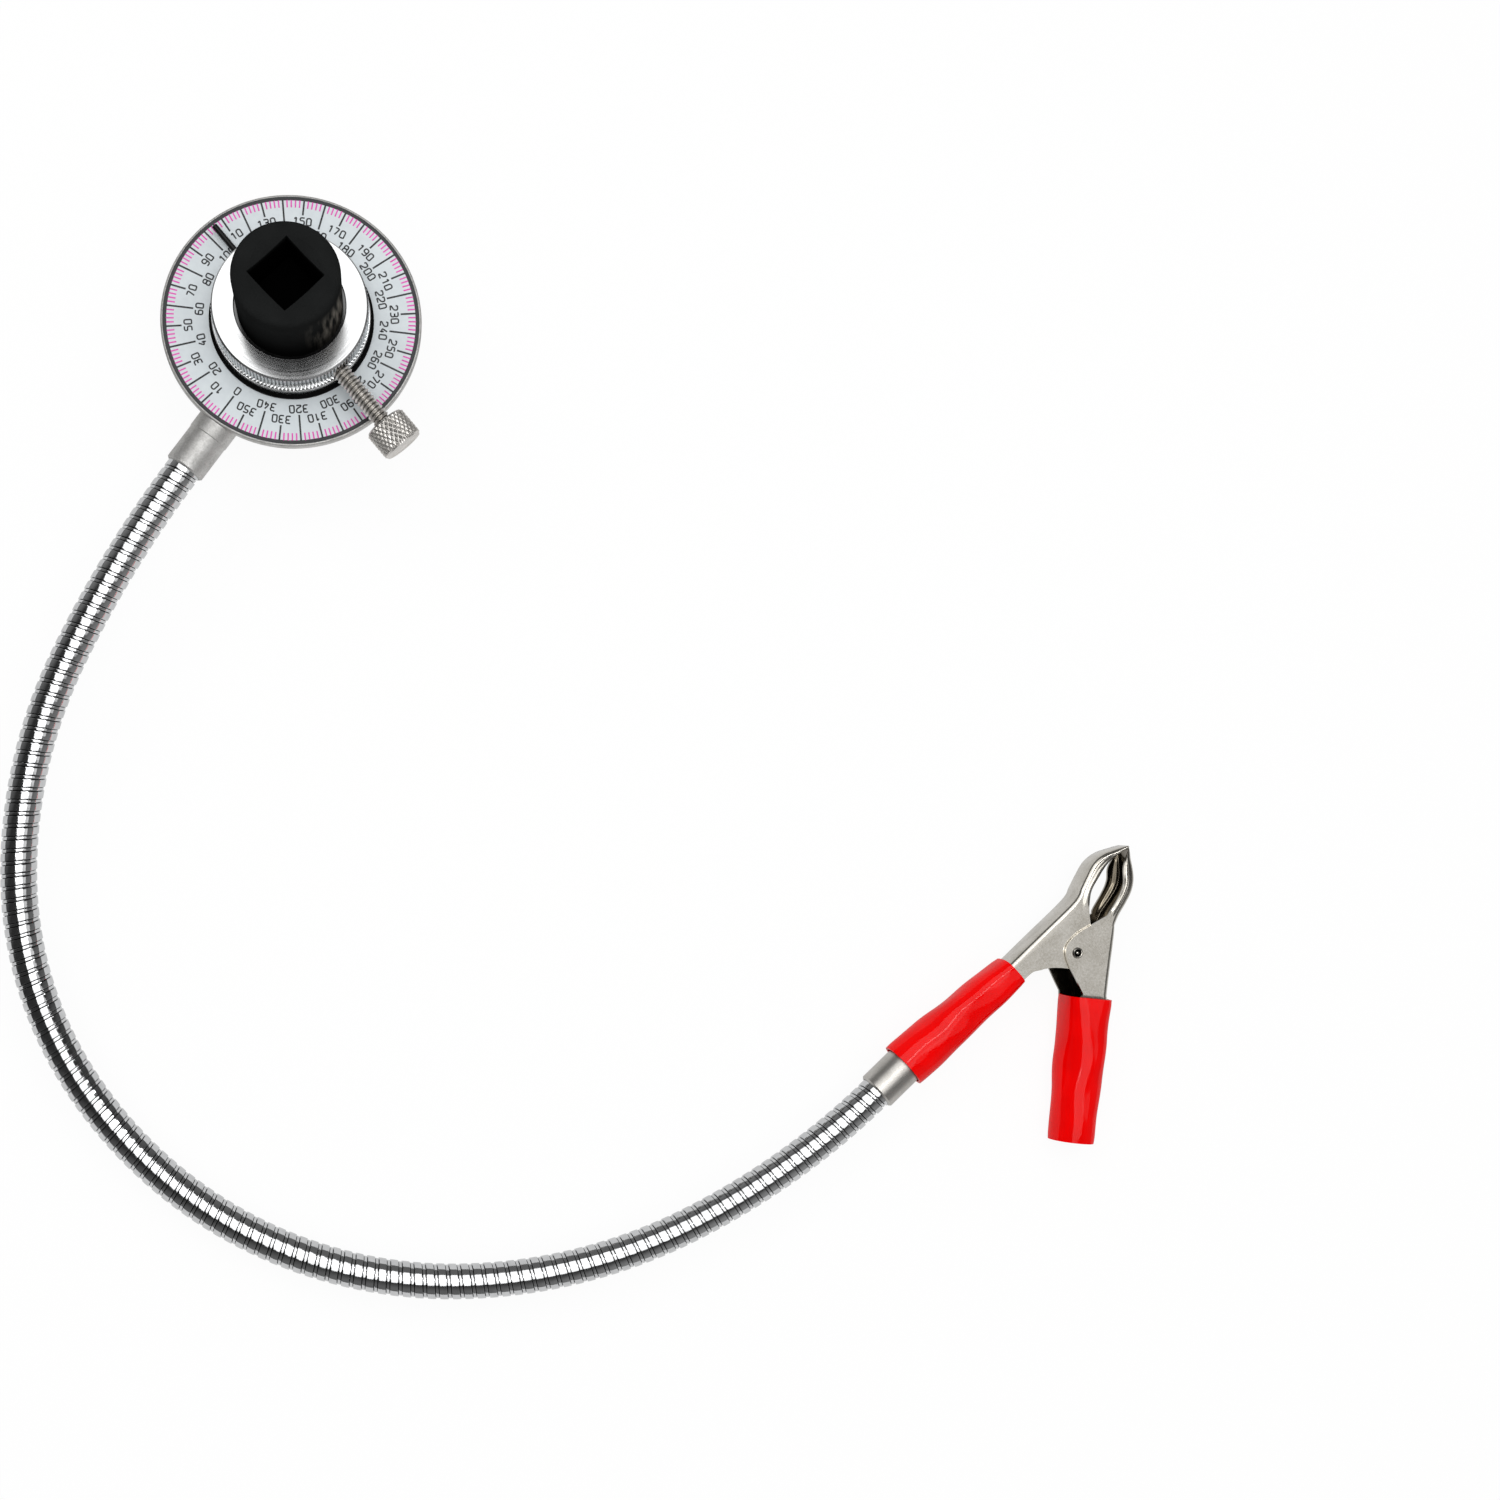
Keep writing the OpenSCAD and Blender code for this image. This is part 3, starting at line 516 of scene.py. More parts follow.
@dataclass
class NodeShape:
    """A geometry node tree with named sizes, which grows one mesh for each set of sizes."""

    name: str
    sizes: dict[str, str]
    tree: Tree = field(init=False)
    inlet: bpy.types.Node = field(init=False)

    def __post_init__(self) -> None:
        """Starts the tree with its inputs."""
        self.tree = bpy.data.node_groups.new(self.name, "GeometryNodeTree")
        face = self.tree.interface
        face.new_socket(name="Geometry", in_out="OUTPUT", socket_type="NodeSocketGeometry")
        face.new_socket(name="Geometry", in_out="INPUT", socket_type="NodeSocketGeometry")
        face.new_socket(name="Material", in_out="INPUT", socket_type="NodeSocketMaterial")
        for name, kind in self.sizes.items():
            face.new_socket(name=name, in_out="INPUT", socket_type="NodeSocket" + kind)
        self.inlet = add(self.tree, "NodeGroupInput", out=None)

    def __getitem__(self, name: str) -> Socket:
        """The socket of a named size."""
        return self.inlet.outputs[name]

    def shape_grid(self, grid: Socket, spot: Socket,
                   shade: Socket) -> None:
        """Ends the tree with a grid whose points are moved to their spots and keep their recess, the share of
        painted shade.
        """
        marked = add(self.tree, "GeometryNodeStoreNamedAttribute", {
            "Geometry": grid, "Name": RECESS, "Value": shade}, data_type="FLOAT", domain="POINT")
        self.end(add(self.tree, "GeometryNodeSetPosition", {"Geometry": marked, "Position": spot}))

    def end(self, geometry: Socket) -> None:
        """Ends the tree: instances made real, and the material set."""
        real = add(self.tree, "GeometryNodeRealizeInstances", {0: geometry})
        dressed = add(self.tree, "GeometryNodeSetMaterial", {
            "Geometry": real, "Material": self["Material"]})
        add(self.tree, "NodeGroupOutput", {0: dressed}, out=None)

    def grow(self, material: bpy.types.Material, base: bpy.types.ID | None = None,
             **sizes: float) -> Shape:
        """Evaluates the tree with some sizes.

        Args:
            material: Material to set.
            base: Mesh or curve that the tree starts from, if it needs one.
            **sizes: Value of each named size, with underscores for spaces.

        Returns:
            The mesh that grew.
        """
        holder = piece("growing", base or bpy.data.meshes.new("seed"))
        modifier = holder.modifiers.new("grow", "NODES")
        modifier.node_group = self.tree
        values = {"Material": material} | {k.replace("_", " "): v for k, v in sizes.items()}
        for item in self.tree.interface.items_tree:
            if item.in_out == "INPUT" and item.name in values:
                modifier[item.identifier] = values[item.name]
        graph = bpy.context.evaluated_depsgraph_get()
        graph.update()
        mesh = bpy.data.meshes.new_from_object(holder.evaluated_get(graph), depsgraph=graph)
        holder.modifiers.remove(modifier)
        bpy.data.objects.remove(holder)
        shape = bmesh.new()
        shape.from_mesh(mesh)
        bpy.data.meshes.remove(mesh)
        return shape


def unit_grid(tree: Tree, rows: Socket, columns: Socket) -> tuple:
    """Adds a grid with its two coordinates from 0 to 1.

    Args:
        tree: Tree that gets the nodes.
        rows: Number of points along.
        columns: Number of points around.

    Returns:
        The grid, the coordinate along and the coordinate around.
    """
    grid = add(tree, "GeometryNodeMeshGrid", {"Size X": 1.0, "Size Y": 1.0, "Vertices X": rows,
                                              "Vertices Y": columns}, out="Mesh")
    place = add(tree, "ShaderNodeVectorMath", {0: add(tree, "GeometryNodeInputPosition"), 1: (0.5, 0.5, 0)})
    parts = add(tree, "ShaderNodeSeparateXYZ", {0: place}, out=None)
    return grid, parts.outputs[0], parts.outputs[1]


def ridged_cylinder() -> NodeShape:
    """Tree of a cylinder along Z cut by two sets of V grooves: a knurl, or a thread where both agree.

    Returns:
        The tree.
    """
    made = NodeShape("ridged_cylinder", {
        "Radius": "Float", "Core": "Float", "Depth": "Float", "Length": "Float", "Teeth": "Float",
        "Lean A": "Float", "Lean B": "Float", "Dark From": "Float", "Rows": "Int", "Columns": "Int"})
    tree = made.tree
    grid, share, turn = unit_grid(tree, made["Rows"], made["Columns"])
    # The first and the last row close the ends onto the core
    step = calc(tree, "DIVIDE", 1.0, made["Rows"])
    span = calc(tree, "MULTIPLY_ADD", step, 2.0, 1.0)
    shifted = calc(tree, "MULTIPLY", share, span)
    level = calc(tree, "SUBTRACT", shifted, step)
    inside = add(tree, "ShaderNodeClamp", {"Value": level, "Min": 0.0, "Max": 1.0})
    off = calc(tree, "COMPARE", level, inside, 1e-4)
    height = calc(tree, "MULTIPLY", inside, made["Length"])
    count = calc(tree, "MULTIPLY", turn, made["Teeth"])
    ridges = []
    for lean in ("Lean A", "Lean B"):
        phase = calc(tree, "MULTIPLY_ADD", height, made[lean], count)
        ridges.append(calc(tree, "PINGPONG", phase, 0.5))
    lower = calc(tree, "MINIMUM", ridges[0], ridges[1])
    rise = calc(tree, "MULTIPLY", lower, 2.0)
    cut = calc(tree, "SUBTRACT", 1.0, rise)
    deep = calc(tree, "MULTIPLY", cut, made["Depth"])
    crest = calc(tree, "SUBTRACT", made["Radius"], deep)
    reach = add(tree, "ShaderNodeMix", {0: off, 2: made["Core"], 3: crest}, data_type="FLOAT")
    angle = calc(tree, "MULTIPLY", turn, 2 * math.pi)
    sides = [calc(tree, "MULTIPLY", reach, calc(tree, wave, angle)) for wave in ("COSINE", "SINE")]
    spot = add(tree, "ShaderNodeCombineXYZ", {0: sides[0], 1: sides[1], 2: height})
    # Painted shade: the deeper part of each groove, from Dark From down, is given a growing share of the recess
    # colour
    full = calc(tree, "ADD", made["Dark From"], 0.4)
    shade = remap(tree, cut, made["Dark From"], full, 0.0, 0.85)
    made.shape_grid(grid, spot, shade)
    return made


# Profile of one turn of strip: share of the pitch, and height from the groove's floor
STRIP_PROFILE = (
    (0.0, 0.0), (0.015, 0.0), (0.035, 0.93), (0.1, 0.98), (0.36, 1.0), (0.62, 0.985), (0.675, 0.94),
    (0.695, 0.0), (0.72, 0.0), (0.74, 0.5), (0.78, 0.54), (0.92, 0.54), (0.965, 0.5), (0.985, 0.0),
    (1.0, 0.0))


def strip_hose() -> NodeShape:
    """Tree of a hose of interlocked strip, wound on the curve that it is given.

    Each turn has a broad, nearly flat band and a narrow lower one, with a thin groove after each, darkened by
    painted shade.
    The rows of the grid run with the winding, so the grooves are clean lines.

    Returns:
        The tree.
    """
    made = NodeShape("strip_wound_hose", {
        "Start": "Float", "End": "Float", "Radius": "Float", "Pitch": "Float", "Groove": "Float",
        "Rows": "Int", "Columns": "Int"})
    tree = made.tree
    grid, share, turn = unit_grid(tree, made["Rows"], made["Columns"])
    early = calc(tree, "SUBTRACT", made["Start"], made["Pitch"])
    length = calc(tree, "SUBTRACT", made["End"], early)
    level = calc(tree, "MULTIPLY_ADD", share, length, early)
    wound = calc(tree, "MULTIPLY_ADD", turn, made["Pitch"], level)
    place = add(tree, "ShaderNodeClamp", {
        "Value": wound, "Min": made["Start"], "Max": made["End"]})
    phase = calc(tree, "DIVIDE", place, made["Pitch"])
    strip = calc(tree, "FRACT", calc(tree, "SUBTRACT", phase, turn))
    curve = add(tree, "ShaderNodeFloatCurve", {"Factor": 1.0, "Value": strip}, out=None)
    line = curve.mapping.curves[0]
    for place_in_turn, height in STRIP_PROFILE[1:-1]:
        line.points.new(place_in_turn, height)
    for spot, location in zip(line.points, STRIP_PROFILE):
        spot.location = location
        spot.handle_type = "VECTOR"
    curve.mapping.update()
    drop = calc(tree, "SUBTRACT", 1.0, curve.outputs[0])
    deep = calc(tree, "MULTIPLY", drop, made["Groove"])
    reach = calc(tree, "SUBTRACT", made["Radius"], deep)
    path = add(tree, "GeometryNodeSampleCurve", {"Curves": made["Geometry"], "Length": place},
               out=None, mode="LENGTH", data_type="FLOAT", use_all_curves=True)
    angle = calc(tree, "MULTIPLY", turn, 2 * math.pi)
    side = vector_calc(tree, "CROSS_PRODUCT", path.outputs["Tangent"], path.outputs["Normal"])
    spot = path.outputs["Position"]
    for way, wave in ((path.outputs["Normal"], "COSINE"), (side, "SINE")):
        amount = calc(tree, "MULTIPLY", reach, calc(tree, wave, angle))
        offset = add(tree, "ShaderNodeVectorMath", {0: way, "Scale": amount}, operation="SCALE")
        spot = vector_calc(tree, "ADD", spot, offset)
    # Painted shade: the floor of each groove is given a share of the recess colour
    shade = remap(tree, drop, 0.7, 0.95, 0.0, 0.9)
    made.shape_grid(grid, spot, shade)
    return made


def scale_marks() -> NodeShape:
    """Tree of radial marks round a scale, numbered clockwise from the -Y side.

    Returns:
        The tree.
    """
    made = NodeShape("scale_marks", {
        "Count": "Int", "First": "Float", "Step": "Float", "Skip": "Int", "Inner": "Float",
        "Outer": "Float", "Width": "Float", "Level": "Float", "Thickness": "Float"})
    tree = made.tree
    number = add(tree, "GeometryNodeInputIndex")
    value = calc(tree, "MULTIPLY_ADD", number, made["Step"], made["First"])
    angle = calc(tree, "SUBTRACT", -math.pi / 2, value)
    both = calc(tree, "ADD", made["Inner"], made["Outer"])
    middle = calc(tree, "MULTIPLY", both, 0.5)
    length = calc(tree, "SUBTRACT", made["Outer"], made["Inner"])
    sides = [calc(tree, "MULTIPLY", middle, calc(tree, wave, angle)) for wave in ("COSINE", "SINE")]
    spot = add(tree, "ShaderNodeCombineXYZ", {0: sides[0], 1: sides[1], 2: made["Level"]})
    points = add(tree, "GeometryNodePoints", {"Count": made["Count"], "Position": spot})
    left = calc(tree, "MODULO", number, made["Skip"])
    shown = calc(tree, "GREATER_THAN", left, 0.5)
    bar = add(tree, "ShaderNodeCombineXYZ", {0: length, 1: made["Width"], 2: made["Thickness"]})
    cube = add(tree, "GeometryNodeMeshCube", {"Size": bar})
    turned = add(tree, "ShaderNodeCombineXYZ", {2: angle})
    made.end(add(tree, "GeometryNodeInstanceOnPoints", {
        "Points": points, "Instance": cube, "Selection": shown, "Rotation": turned}, out="Instances"))
    return made


# Sub-assemblies


@dataclass
class Workshop:
    """What the sub-assemblies share: the frame, the materials and the node trees."""

    frame: dict[str, Any]
    materials: dict[str, bpy.types.Material] = field(default_factory=dict)
    ridges: NodeShape = field(default_factory=ridged_cylinder)
    hose: NodeShape = field(default_factory=strip_hose)
    marks: NodeShape = field(default_factory=scale_marks)

    def material(self, finish: Finish) -> bpy.types.Material:
        """The material of a finish, made once."""
        if finish.name not in self.materials:
            self.materials[finish.name] = finish.build()
        return self.materials[finish.name]

    def joint(self, name: str) -> tuple[Vector, Vector]:
        """Place and axis of a joint, at rest; a sliding joint's place is the origin."""
        found = next(j for j in self.frame["joints"] if j["name"] == name)
        return Vector(found.get("pos_m", (0, 0, 0))), Vector(found["axis"]).normalized()

    def dress(self, finish: Finish, *nodes: str) -> None:
        """Gives CAD nodes a finish."""
        for name in nodes:
            data = self.frame["nodes"][name].data
            data.materials.clear()
            data.materials.append(self.material(finish))

    def add_piece(self, name: str, shape: Shape, finish: Finish, body: str | None,
                  replaced: Sequence[str] = (), sharp_deg: float = 38.0) -> bpy.types.Object:
        """Finishes a shape and puts it on its body.

        Args:
            name: Name of the piece.
            shape: Its shape, in the row frame, which is freed.
            finish: Its finish.
            body: Body that it rides on, or None where it is blended later.
            replaced: CAD nodes that it stands for.
            sharp_deg: Edges that fold by more than this stay sharp.

        Returns:
            The piece.
        """
        mesh = closed(name, shape, sharp_deg)
        mesh.materials.append(self.material(finish))
        made = piece(name, mesh)
        if replaced:
            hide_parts(*replaced)
        if body:
            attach(made, body)
        LOG.info("%s: %d faces on %s", name, len(mesh.polygons), body)
        return made


@dataclass
class Numerals:
    """Squared numerals drawn by strokes of one width, on a cell one high."""

    height: float = 1.82 * MM
    width: float = 0.6
    stroke: float = 0.2
    gap: float = 0.32
    corner: float = 0.27

    def strokes(self, digit: str) -> list[list[Point]]:
        """Centre lines of one numeral.

        Args:
            digit: The numeral.

        Returns:
            Its lines, each a list of points that are rounded at the corners.
        """
        w, m = self.width, 0.53
        six = [(w * 0.92, 1), (0, 1), (0, 0), (w, 0), (w, m + 0.04), (0, m + 0.04)]
        return {
            "0": [[(w / 2, 0), (w, 0), (w, 1), (0, 1), (0, 0), (w / 2, 0)]],
            "1": [[(0.14, 0.76), (0.4, 1), (0.4, 0)]],
            "2": [[(0, 0.76), (0, 1), (w, 1), (w, 0.5), (0, 0.16), (0, 0), (w, 0)]],
            "3": [[(0, 1), (w, 1), (w, m), (0.16, m)], [(0.16, m), (w, m), (w, 0), (0, 0)]],
            "4": [[(0.42, 1), (0, 0.28), (w, 0.28)], [(0.46, 0.56), (0.46, 0)]],
            "5": [[(w, 1), (0.04, 1), (0, m + 0.06), (w, m + 0.06), (w, 0), (0, 0)]],
            "6": [six],
            "7": [[(0, 1), (w, 1), (w * 0.36, 0)]],
            "8": [[(w / 2, 0), (w, 0), (w, m), (0, m), (0, 0), (w / 2, 0)],
                  [(w / 2, m), (w - 0.03, m), (w - 0.03, 1), (0.03, 1), (0.03, m), (w / 2, m)]],
            "9": [[(w - x, 1 - y) for x, y in six]],
        }[digit]

    def rounded(self, line: Sequence[Point]) -> list[Vector]:
        """Rounds the corners of a line."""
        p = [Vector(x) for x in line]
        out = [p[0]]
        for a, b, c in zip(p, p[1:], p[2:]):
            cut = min(self.corner, (a - b).length * 0.48, (c - b).length * 0.48)
            one, two = b + (a - b).normalized() * cut, b + (c - b).normalized() * cut
            for k in range(6):
                t = k / 5
                out.append(one * (1 - t) ** 2 + b * (2 * t * (1 - t)) + two * t ** 2)
        return out + [p[-1]]

    def draw(self, shape: Shape, text: str, frame: Matrix, thickness: float) -> None:
        """Draws a number, centred on its frame's origin with its top towards +Y.

        Args:
            shape: Shape that gets the strokes.
            text: The number.
            frame: Place of the number, with +Z out of the plate.
            thickness: Height of the ink over the plate, in metres.
        """
        step = self.width + self.gap
        start = -(step * len(text) - self.gap) / 2
        for i, digit in enumerate(text):
            for line in self.strokes(digit):
                path = self.rounded(line)
                rows = []
                for k, p in enumerate(path):
                    t = (path[min(k + 1, len(path) - 1)] - path[max(k - 1, 0)]).normalized()
                    n = Vector((-t.y, t.x)) * self.stroke / 2
                    sides = [(p + n, 0), (p - n, 0), (p - n, 1), (p + n, 1)]
                    rows.append([frame @ Vector(((q.x + start + i * step) * self.height,
                                                 (q.y - 0.5) * self.height, lift * thickness))
                                 for q, lift in sides])
                skin(shape, rows)


@dataclass
class Dial:
    """The cast dial with its printed scale, its bush and its washers."""

    border: tuple[float, float] = (30.67 * MM, 31.6 * MM)
    fine_inner: float = 28.85 * MM
    odd_inner: float = 27.0 * MM
    even_inner: float = 24.25 * MM
    fine_width: float = 0.37 * MM
    ten_width: float = 0.45 * MM
    odd_numbers: float = 25.45 * MM
    even_numbers: float = 22.75 * MM
    ink: float = 0.03 * MM
    numerals: Numerals = field(default_factory=Numerals)

    def build(self, shop: Workshop) -> None:
        """Dresses the castings and prints the scale."""
        shop.dress(ZINC, "dial_housing")
        shop.dress(ENAMEL, "dial_plate")
        shop.dress(BRONZE, "hub_bush")
        shop.dress(ACETAL, "slip_washer")
        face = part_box("dial_plate")[1].z
        self.print_marks(shop, face)
        self.print_numbers(shop, face)

    def print_marks(self, shop: Workshop, face: float) -> None:
        """Prints the border and the marks.

        Args:
            shop: What the sub-assemblies share.
            face: Level of the plate's face.
        """
        common = {"Outer": self.border[0] + 0.1 * MM, "Level": face + self.ink / 2, "Thickness": self.ink}
        degree = math.radians(1)
        red = shop.marks.grow(shop.material(INK_RED), Count=180, First=0.0, Step=2 * degree, Skip=5,
                              Inner=self.fine_inner, Width=self.fine_width, **common)
        shop.add_piece("scale_marks_red", red, INK_RED, "dial")
        # A count of one more than is drawn, with the first left out, gives every twentieth degree
        black = bmesh.new()
        for first, inner in ((0, self.even_inner), (10, self.odd_inner)):
            tens = shop.marks.grow(shop.material(INK_BLACK), Count=19, First=(first - 20) * degree,
                                   Step=20 * degree, Skip=19, Inner=inner, Width=self.ten_width, **common)
            join(black, tens)
        low, high = face / MM, (face + self.ink) / MM
        inner, outer = (r / MM for r in self.border)
        lathe(black, [(inner, low), (outer, low), (outer, high), (inner, high)], Matrix(), 180, ring=True)
        shop.add_piece("scale_marks_black", black, INK_BLACK, "dial")

    def print_numbers(self, shop: Workshop, face: float) -> None:
        """Prints the numbers, clockwise from the stem with their tops outwards."""
        shape = bmesh.new()
        for value in range(0, 360, 10):
            reach = self.odd_numbers if value % 20 else self.even_numbers
            angle = math.radians(-90 - value)
            place = Vector((reach * math.cos(angle), reach * math.sin(angle), face))
            frame = Matrix.Translation(place) @ Matrix.Rotation(angle - math.pi / 2, 4, "Z")
            self.numerals.draw(shape, str(value), frame, self.ink)
        shop.add_piece("scale_numbers", shape, INK_BLACK, "dial")


@dataclass
class Drive:
    """The square drive with its journal, ball and washers."""

    wire_r: float = 0.25 * MM
    coil_turns: int = 5
    steps_per_turn: int = 32
    ball_travel: float = 1.0 * MM

    def build(self, shop: Workshop) -> None:
        """Dresses the drive's nodes and winds the ball's spring."""
        shop.dress(PHOSPHATE, "drive_body")
        shop.dress(NICKEL, "detent_ball")
        self.spring(shop)
        shop.dress(DARK_STEEL, "retaining_ring")
        shop.dress(BRONZE, "thrust_washer")

    def spring(self, shop: Workshop) -> None:
        """Winds the detent's spring."""
        low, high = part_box("detent_spring")
        axis = shop.joint("detent_press")[1]
        half = abs((high - low).dot(axis)) / 2
        radius = (high.z - low.z) / 2 - self.wire_r
        middle, side = (low + high) / 2, axis.cross(UP)
        count = self.steps_per_turn * self.coil_turns
        path = []
        for k in range(count + 1):
            a = math.tau * k / self.steps_per_turn
            spoke = (UP * math.cos(a) + side * math.sin(a)) * radius
            path.append(middle + axis * (half - self.wire_r) * (2 * k / count - 1) + spoke)
        shape = wire(path, axis, self.wire_r)
        made = shop.add_piece("wound_detent_spring", shape, WIRE, "drive", ["detent_spring"])
        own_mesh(made)


@dataclass
class PointerRing:
    """The knurled ring with its pointer."""

    bore: float = 12.88
    counterbore: float = 13.5
    lip: float = 3.0
    flange_h: float = 3.0
    flange_r: float = 19.5
    knurl_r: float = 19.15
    knurl_depth: float = 0.34
    knurl_pitch: float = 0.95
    top_r: float = 18.75
    step: float = 0.5
    edge: float = 0.2
    top_edge: float = 0.15
    core_inset: float = 0.1
    knurl_lift: float = 0.05

    def build(self, shop: Workshop) -> None:
        """Builds the ring and dresses the pointer."""
        low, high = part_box("pointer_ring")
        height = (high.z - low.z) / MM
        knurl_top = height - self.step
        core = self.knurl_r - self.knurl_depth - self.core_inset
        e, t = self.edge, self.top_edge
        flange, top = self.flange_r, self.top_r
        profile = [
            (self.bore, 0), (flange - e, 0), (flange, e), (flange, self.flange_h - e),
            (flange - e, self.flange_h), (core, self.flange_h), (core, knurl_top - e),
            (self.knurl_r - t, knurl_top), (top, knurl_top + e), (top, height - t), (top - t, height),
            (self.counterbore + e, height), (self.counterbore, height - e), (self.counterbore, self.lip),
            (self.bore, self.lip)]
        shape = bmesh.new()
        # Painted shadow: the bore, the lip's step and the counterbore's wall take the dark recess colour, round
        # the drive's foot
        bore_side = (0, 12, 13, 14)
        lathe(shape, profile, Matrix.Translation((0, 0, low.z)), 160, ring=True, dark=bore_side)
        teeth = round(2 * math.pi * self.knurl_r / self.knurl_pitch)
        band = knurl_top - self.flange_h - e
        # The knurl's grooves get painted shade, darker from a cut of 0.35 down
        knurl = shop.ridges.grow(
            shop.material(ALUMINIUM), Radius=self.knurl_r * MM, Core=core * MM, Depth=self.knurl_depth * MM,
            Length=band * MM, Teeth=float(teeth), Lean_A=0.0, Lean_B=0.0, Dark_From=0.35, Rows=8,
            Columns=teeth * 8 + 1)
        lift = low.z + (self.flange_h + self.knurl_lift) * MM
        bmesh.ops.translate(knurl, verts=knurl.verts, vec=(0, 0, lift))
        join(shape, knurl)
        shop.add_piece("knurled_ring", shape, ALUMINIUM, "ring", ["pointer_ring"])
        shop.dress(OXIDE, "pointer_rod")


@dataclass
class Thumbscrew:
    """The clamp screw: a threaded stud in a knurled head, and its pad."""

    stud_r: float = 2.4
    thread_depth: float = 0.62
    thread_pitch: float = 1.058
    stud_back: float = 21.1
    stud_in: float = 2.9
    head_r: float = 5.5
    head_len: float = 7.5
    chamfer: float = 0.5
    knurl_depth: float = 0.3
    core_inset: float = 0.05
    collar: float = 0.5
    dish: Point = (0.12, 0.15)
    knurl_teeth: int = 30
    knurl_pitch: float = 1.9

    def build(self, shop: Workshop) -> None:
        """Builds the stud and the head on the joint's axis."""
        place, axis = shop.joint("thumbscrew_turn")
        frame = along(place, axis)
        length = (self.stud_back + self.stud_in) * MM
        turns = 1 / (self.thread_pitch * MM)
        # The thread's grooves get painted shade
        stud = shop.ridges.grow(
            shop.material(NICKEL), Radius=self.stud_r * MM, Core=0.0, Depth=self.thread_depth * MM,
            Length=length, Teeth=-1.0, Lean_A=turns, Lean_B=turns, Dark_From=0.5,
            Rows=round(12 * length * turns), Columns=49)
        behind = Matrix.Translation((0, 0, -self.stud_back * MM))
        bmesh.ops.transform(stud, matrix=frame @ behind, verts=stud.verts)
        shop.add_piece("threaded_stud", stud, NICKEL, "thumbscrew", ["thumbscrew_stud"], 60)
        r, c, n = self.head_r, self.chamfer, self.head_len
        core = r - self.knurl_depth - self.core_inset
        collar, (near, far) = self.stud_r + self.collar, self.dish
        head = bmesh.new()
        lathe(head, [(0, 0), (collar, 0), (collar + 0.1, near), (r - c - 0.2, near), (r - c, 0), (core, c),
                     (core, n - c), (r - c, n), (r - c - 0.9, n), (r - c - 1.1, n - far), (0, n - far)],
              frame, 96)
        # The knurl's grooves get painted shade, only near their floors
        knurl = shop.ridges.grow(
            shop.material(NICKEL), Radius=r * MM, Core=core * MM, Depth=self.knurl_depth * MM,
            Length=(n - 2 * c) * MM, Teeth=float(self.knurl_teeth), Lean_A=1 / (self.knurl_pitch * MM),
            Lean_B=-1 / (self.knurl_pitch * MM), Dark_From=0.72, Rows=46, Columns=self.knurl_teeth * 8 + 1)
        bmesh.ops.transform(knurl, matrix=frame @ Matrix.Translation((0, 0, c * MM)), verts=knurl.verts)
        join(head, knurl)
        shop.add_piece("knurled_head", head, NICKEL, "thumbscrew", ["thumbscrew_head"])
        shop.dress(BRASS, "clamp_pad")


@dataclass
class ClipFrame:
    """Axes of the clip: X along the hose's end, Z up the rivet, at the rivet."""

    origin: Vector
    x: Vector
    y: Vector
    z: Vector
    rivet_reach: float = 63.0
    rivet_offset: float = 9.4
    handle_angle: float = 41.4

    @classmethod
    def of(cls, shop: Workshop) -> "ClipFrame":
        """Reads the axes from the jaw's hinge."""
        place, axis = shop.joint("jaw_open")
        z = -axis
        x = UP.cross(z).normalized()
        return cls(place, x, z.cross(x), z)

    def at(self, x: float, y: float, z: float) -> Vector:
        """A point given in millimetres from the rivet."""
        return self.origin + (self.x * x + self.y * y + self.z * z) * MM

    def hose_end(self) -> Vector:
        """Where the hose enters the ferrule."""
        return self.at(-self.rivet_reach, self.rivet_offset, 0)

    def handle(self, x: float, y: float) -> Point:
        """A point of the moving handle's own axes, in the clip's axes."""
        a = math.radians(180 + self.handle_angle)
        return x * math.cos(a) - y * math.sin(a), x * math.sin(a) + y * math.cos(a)


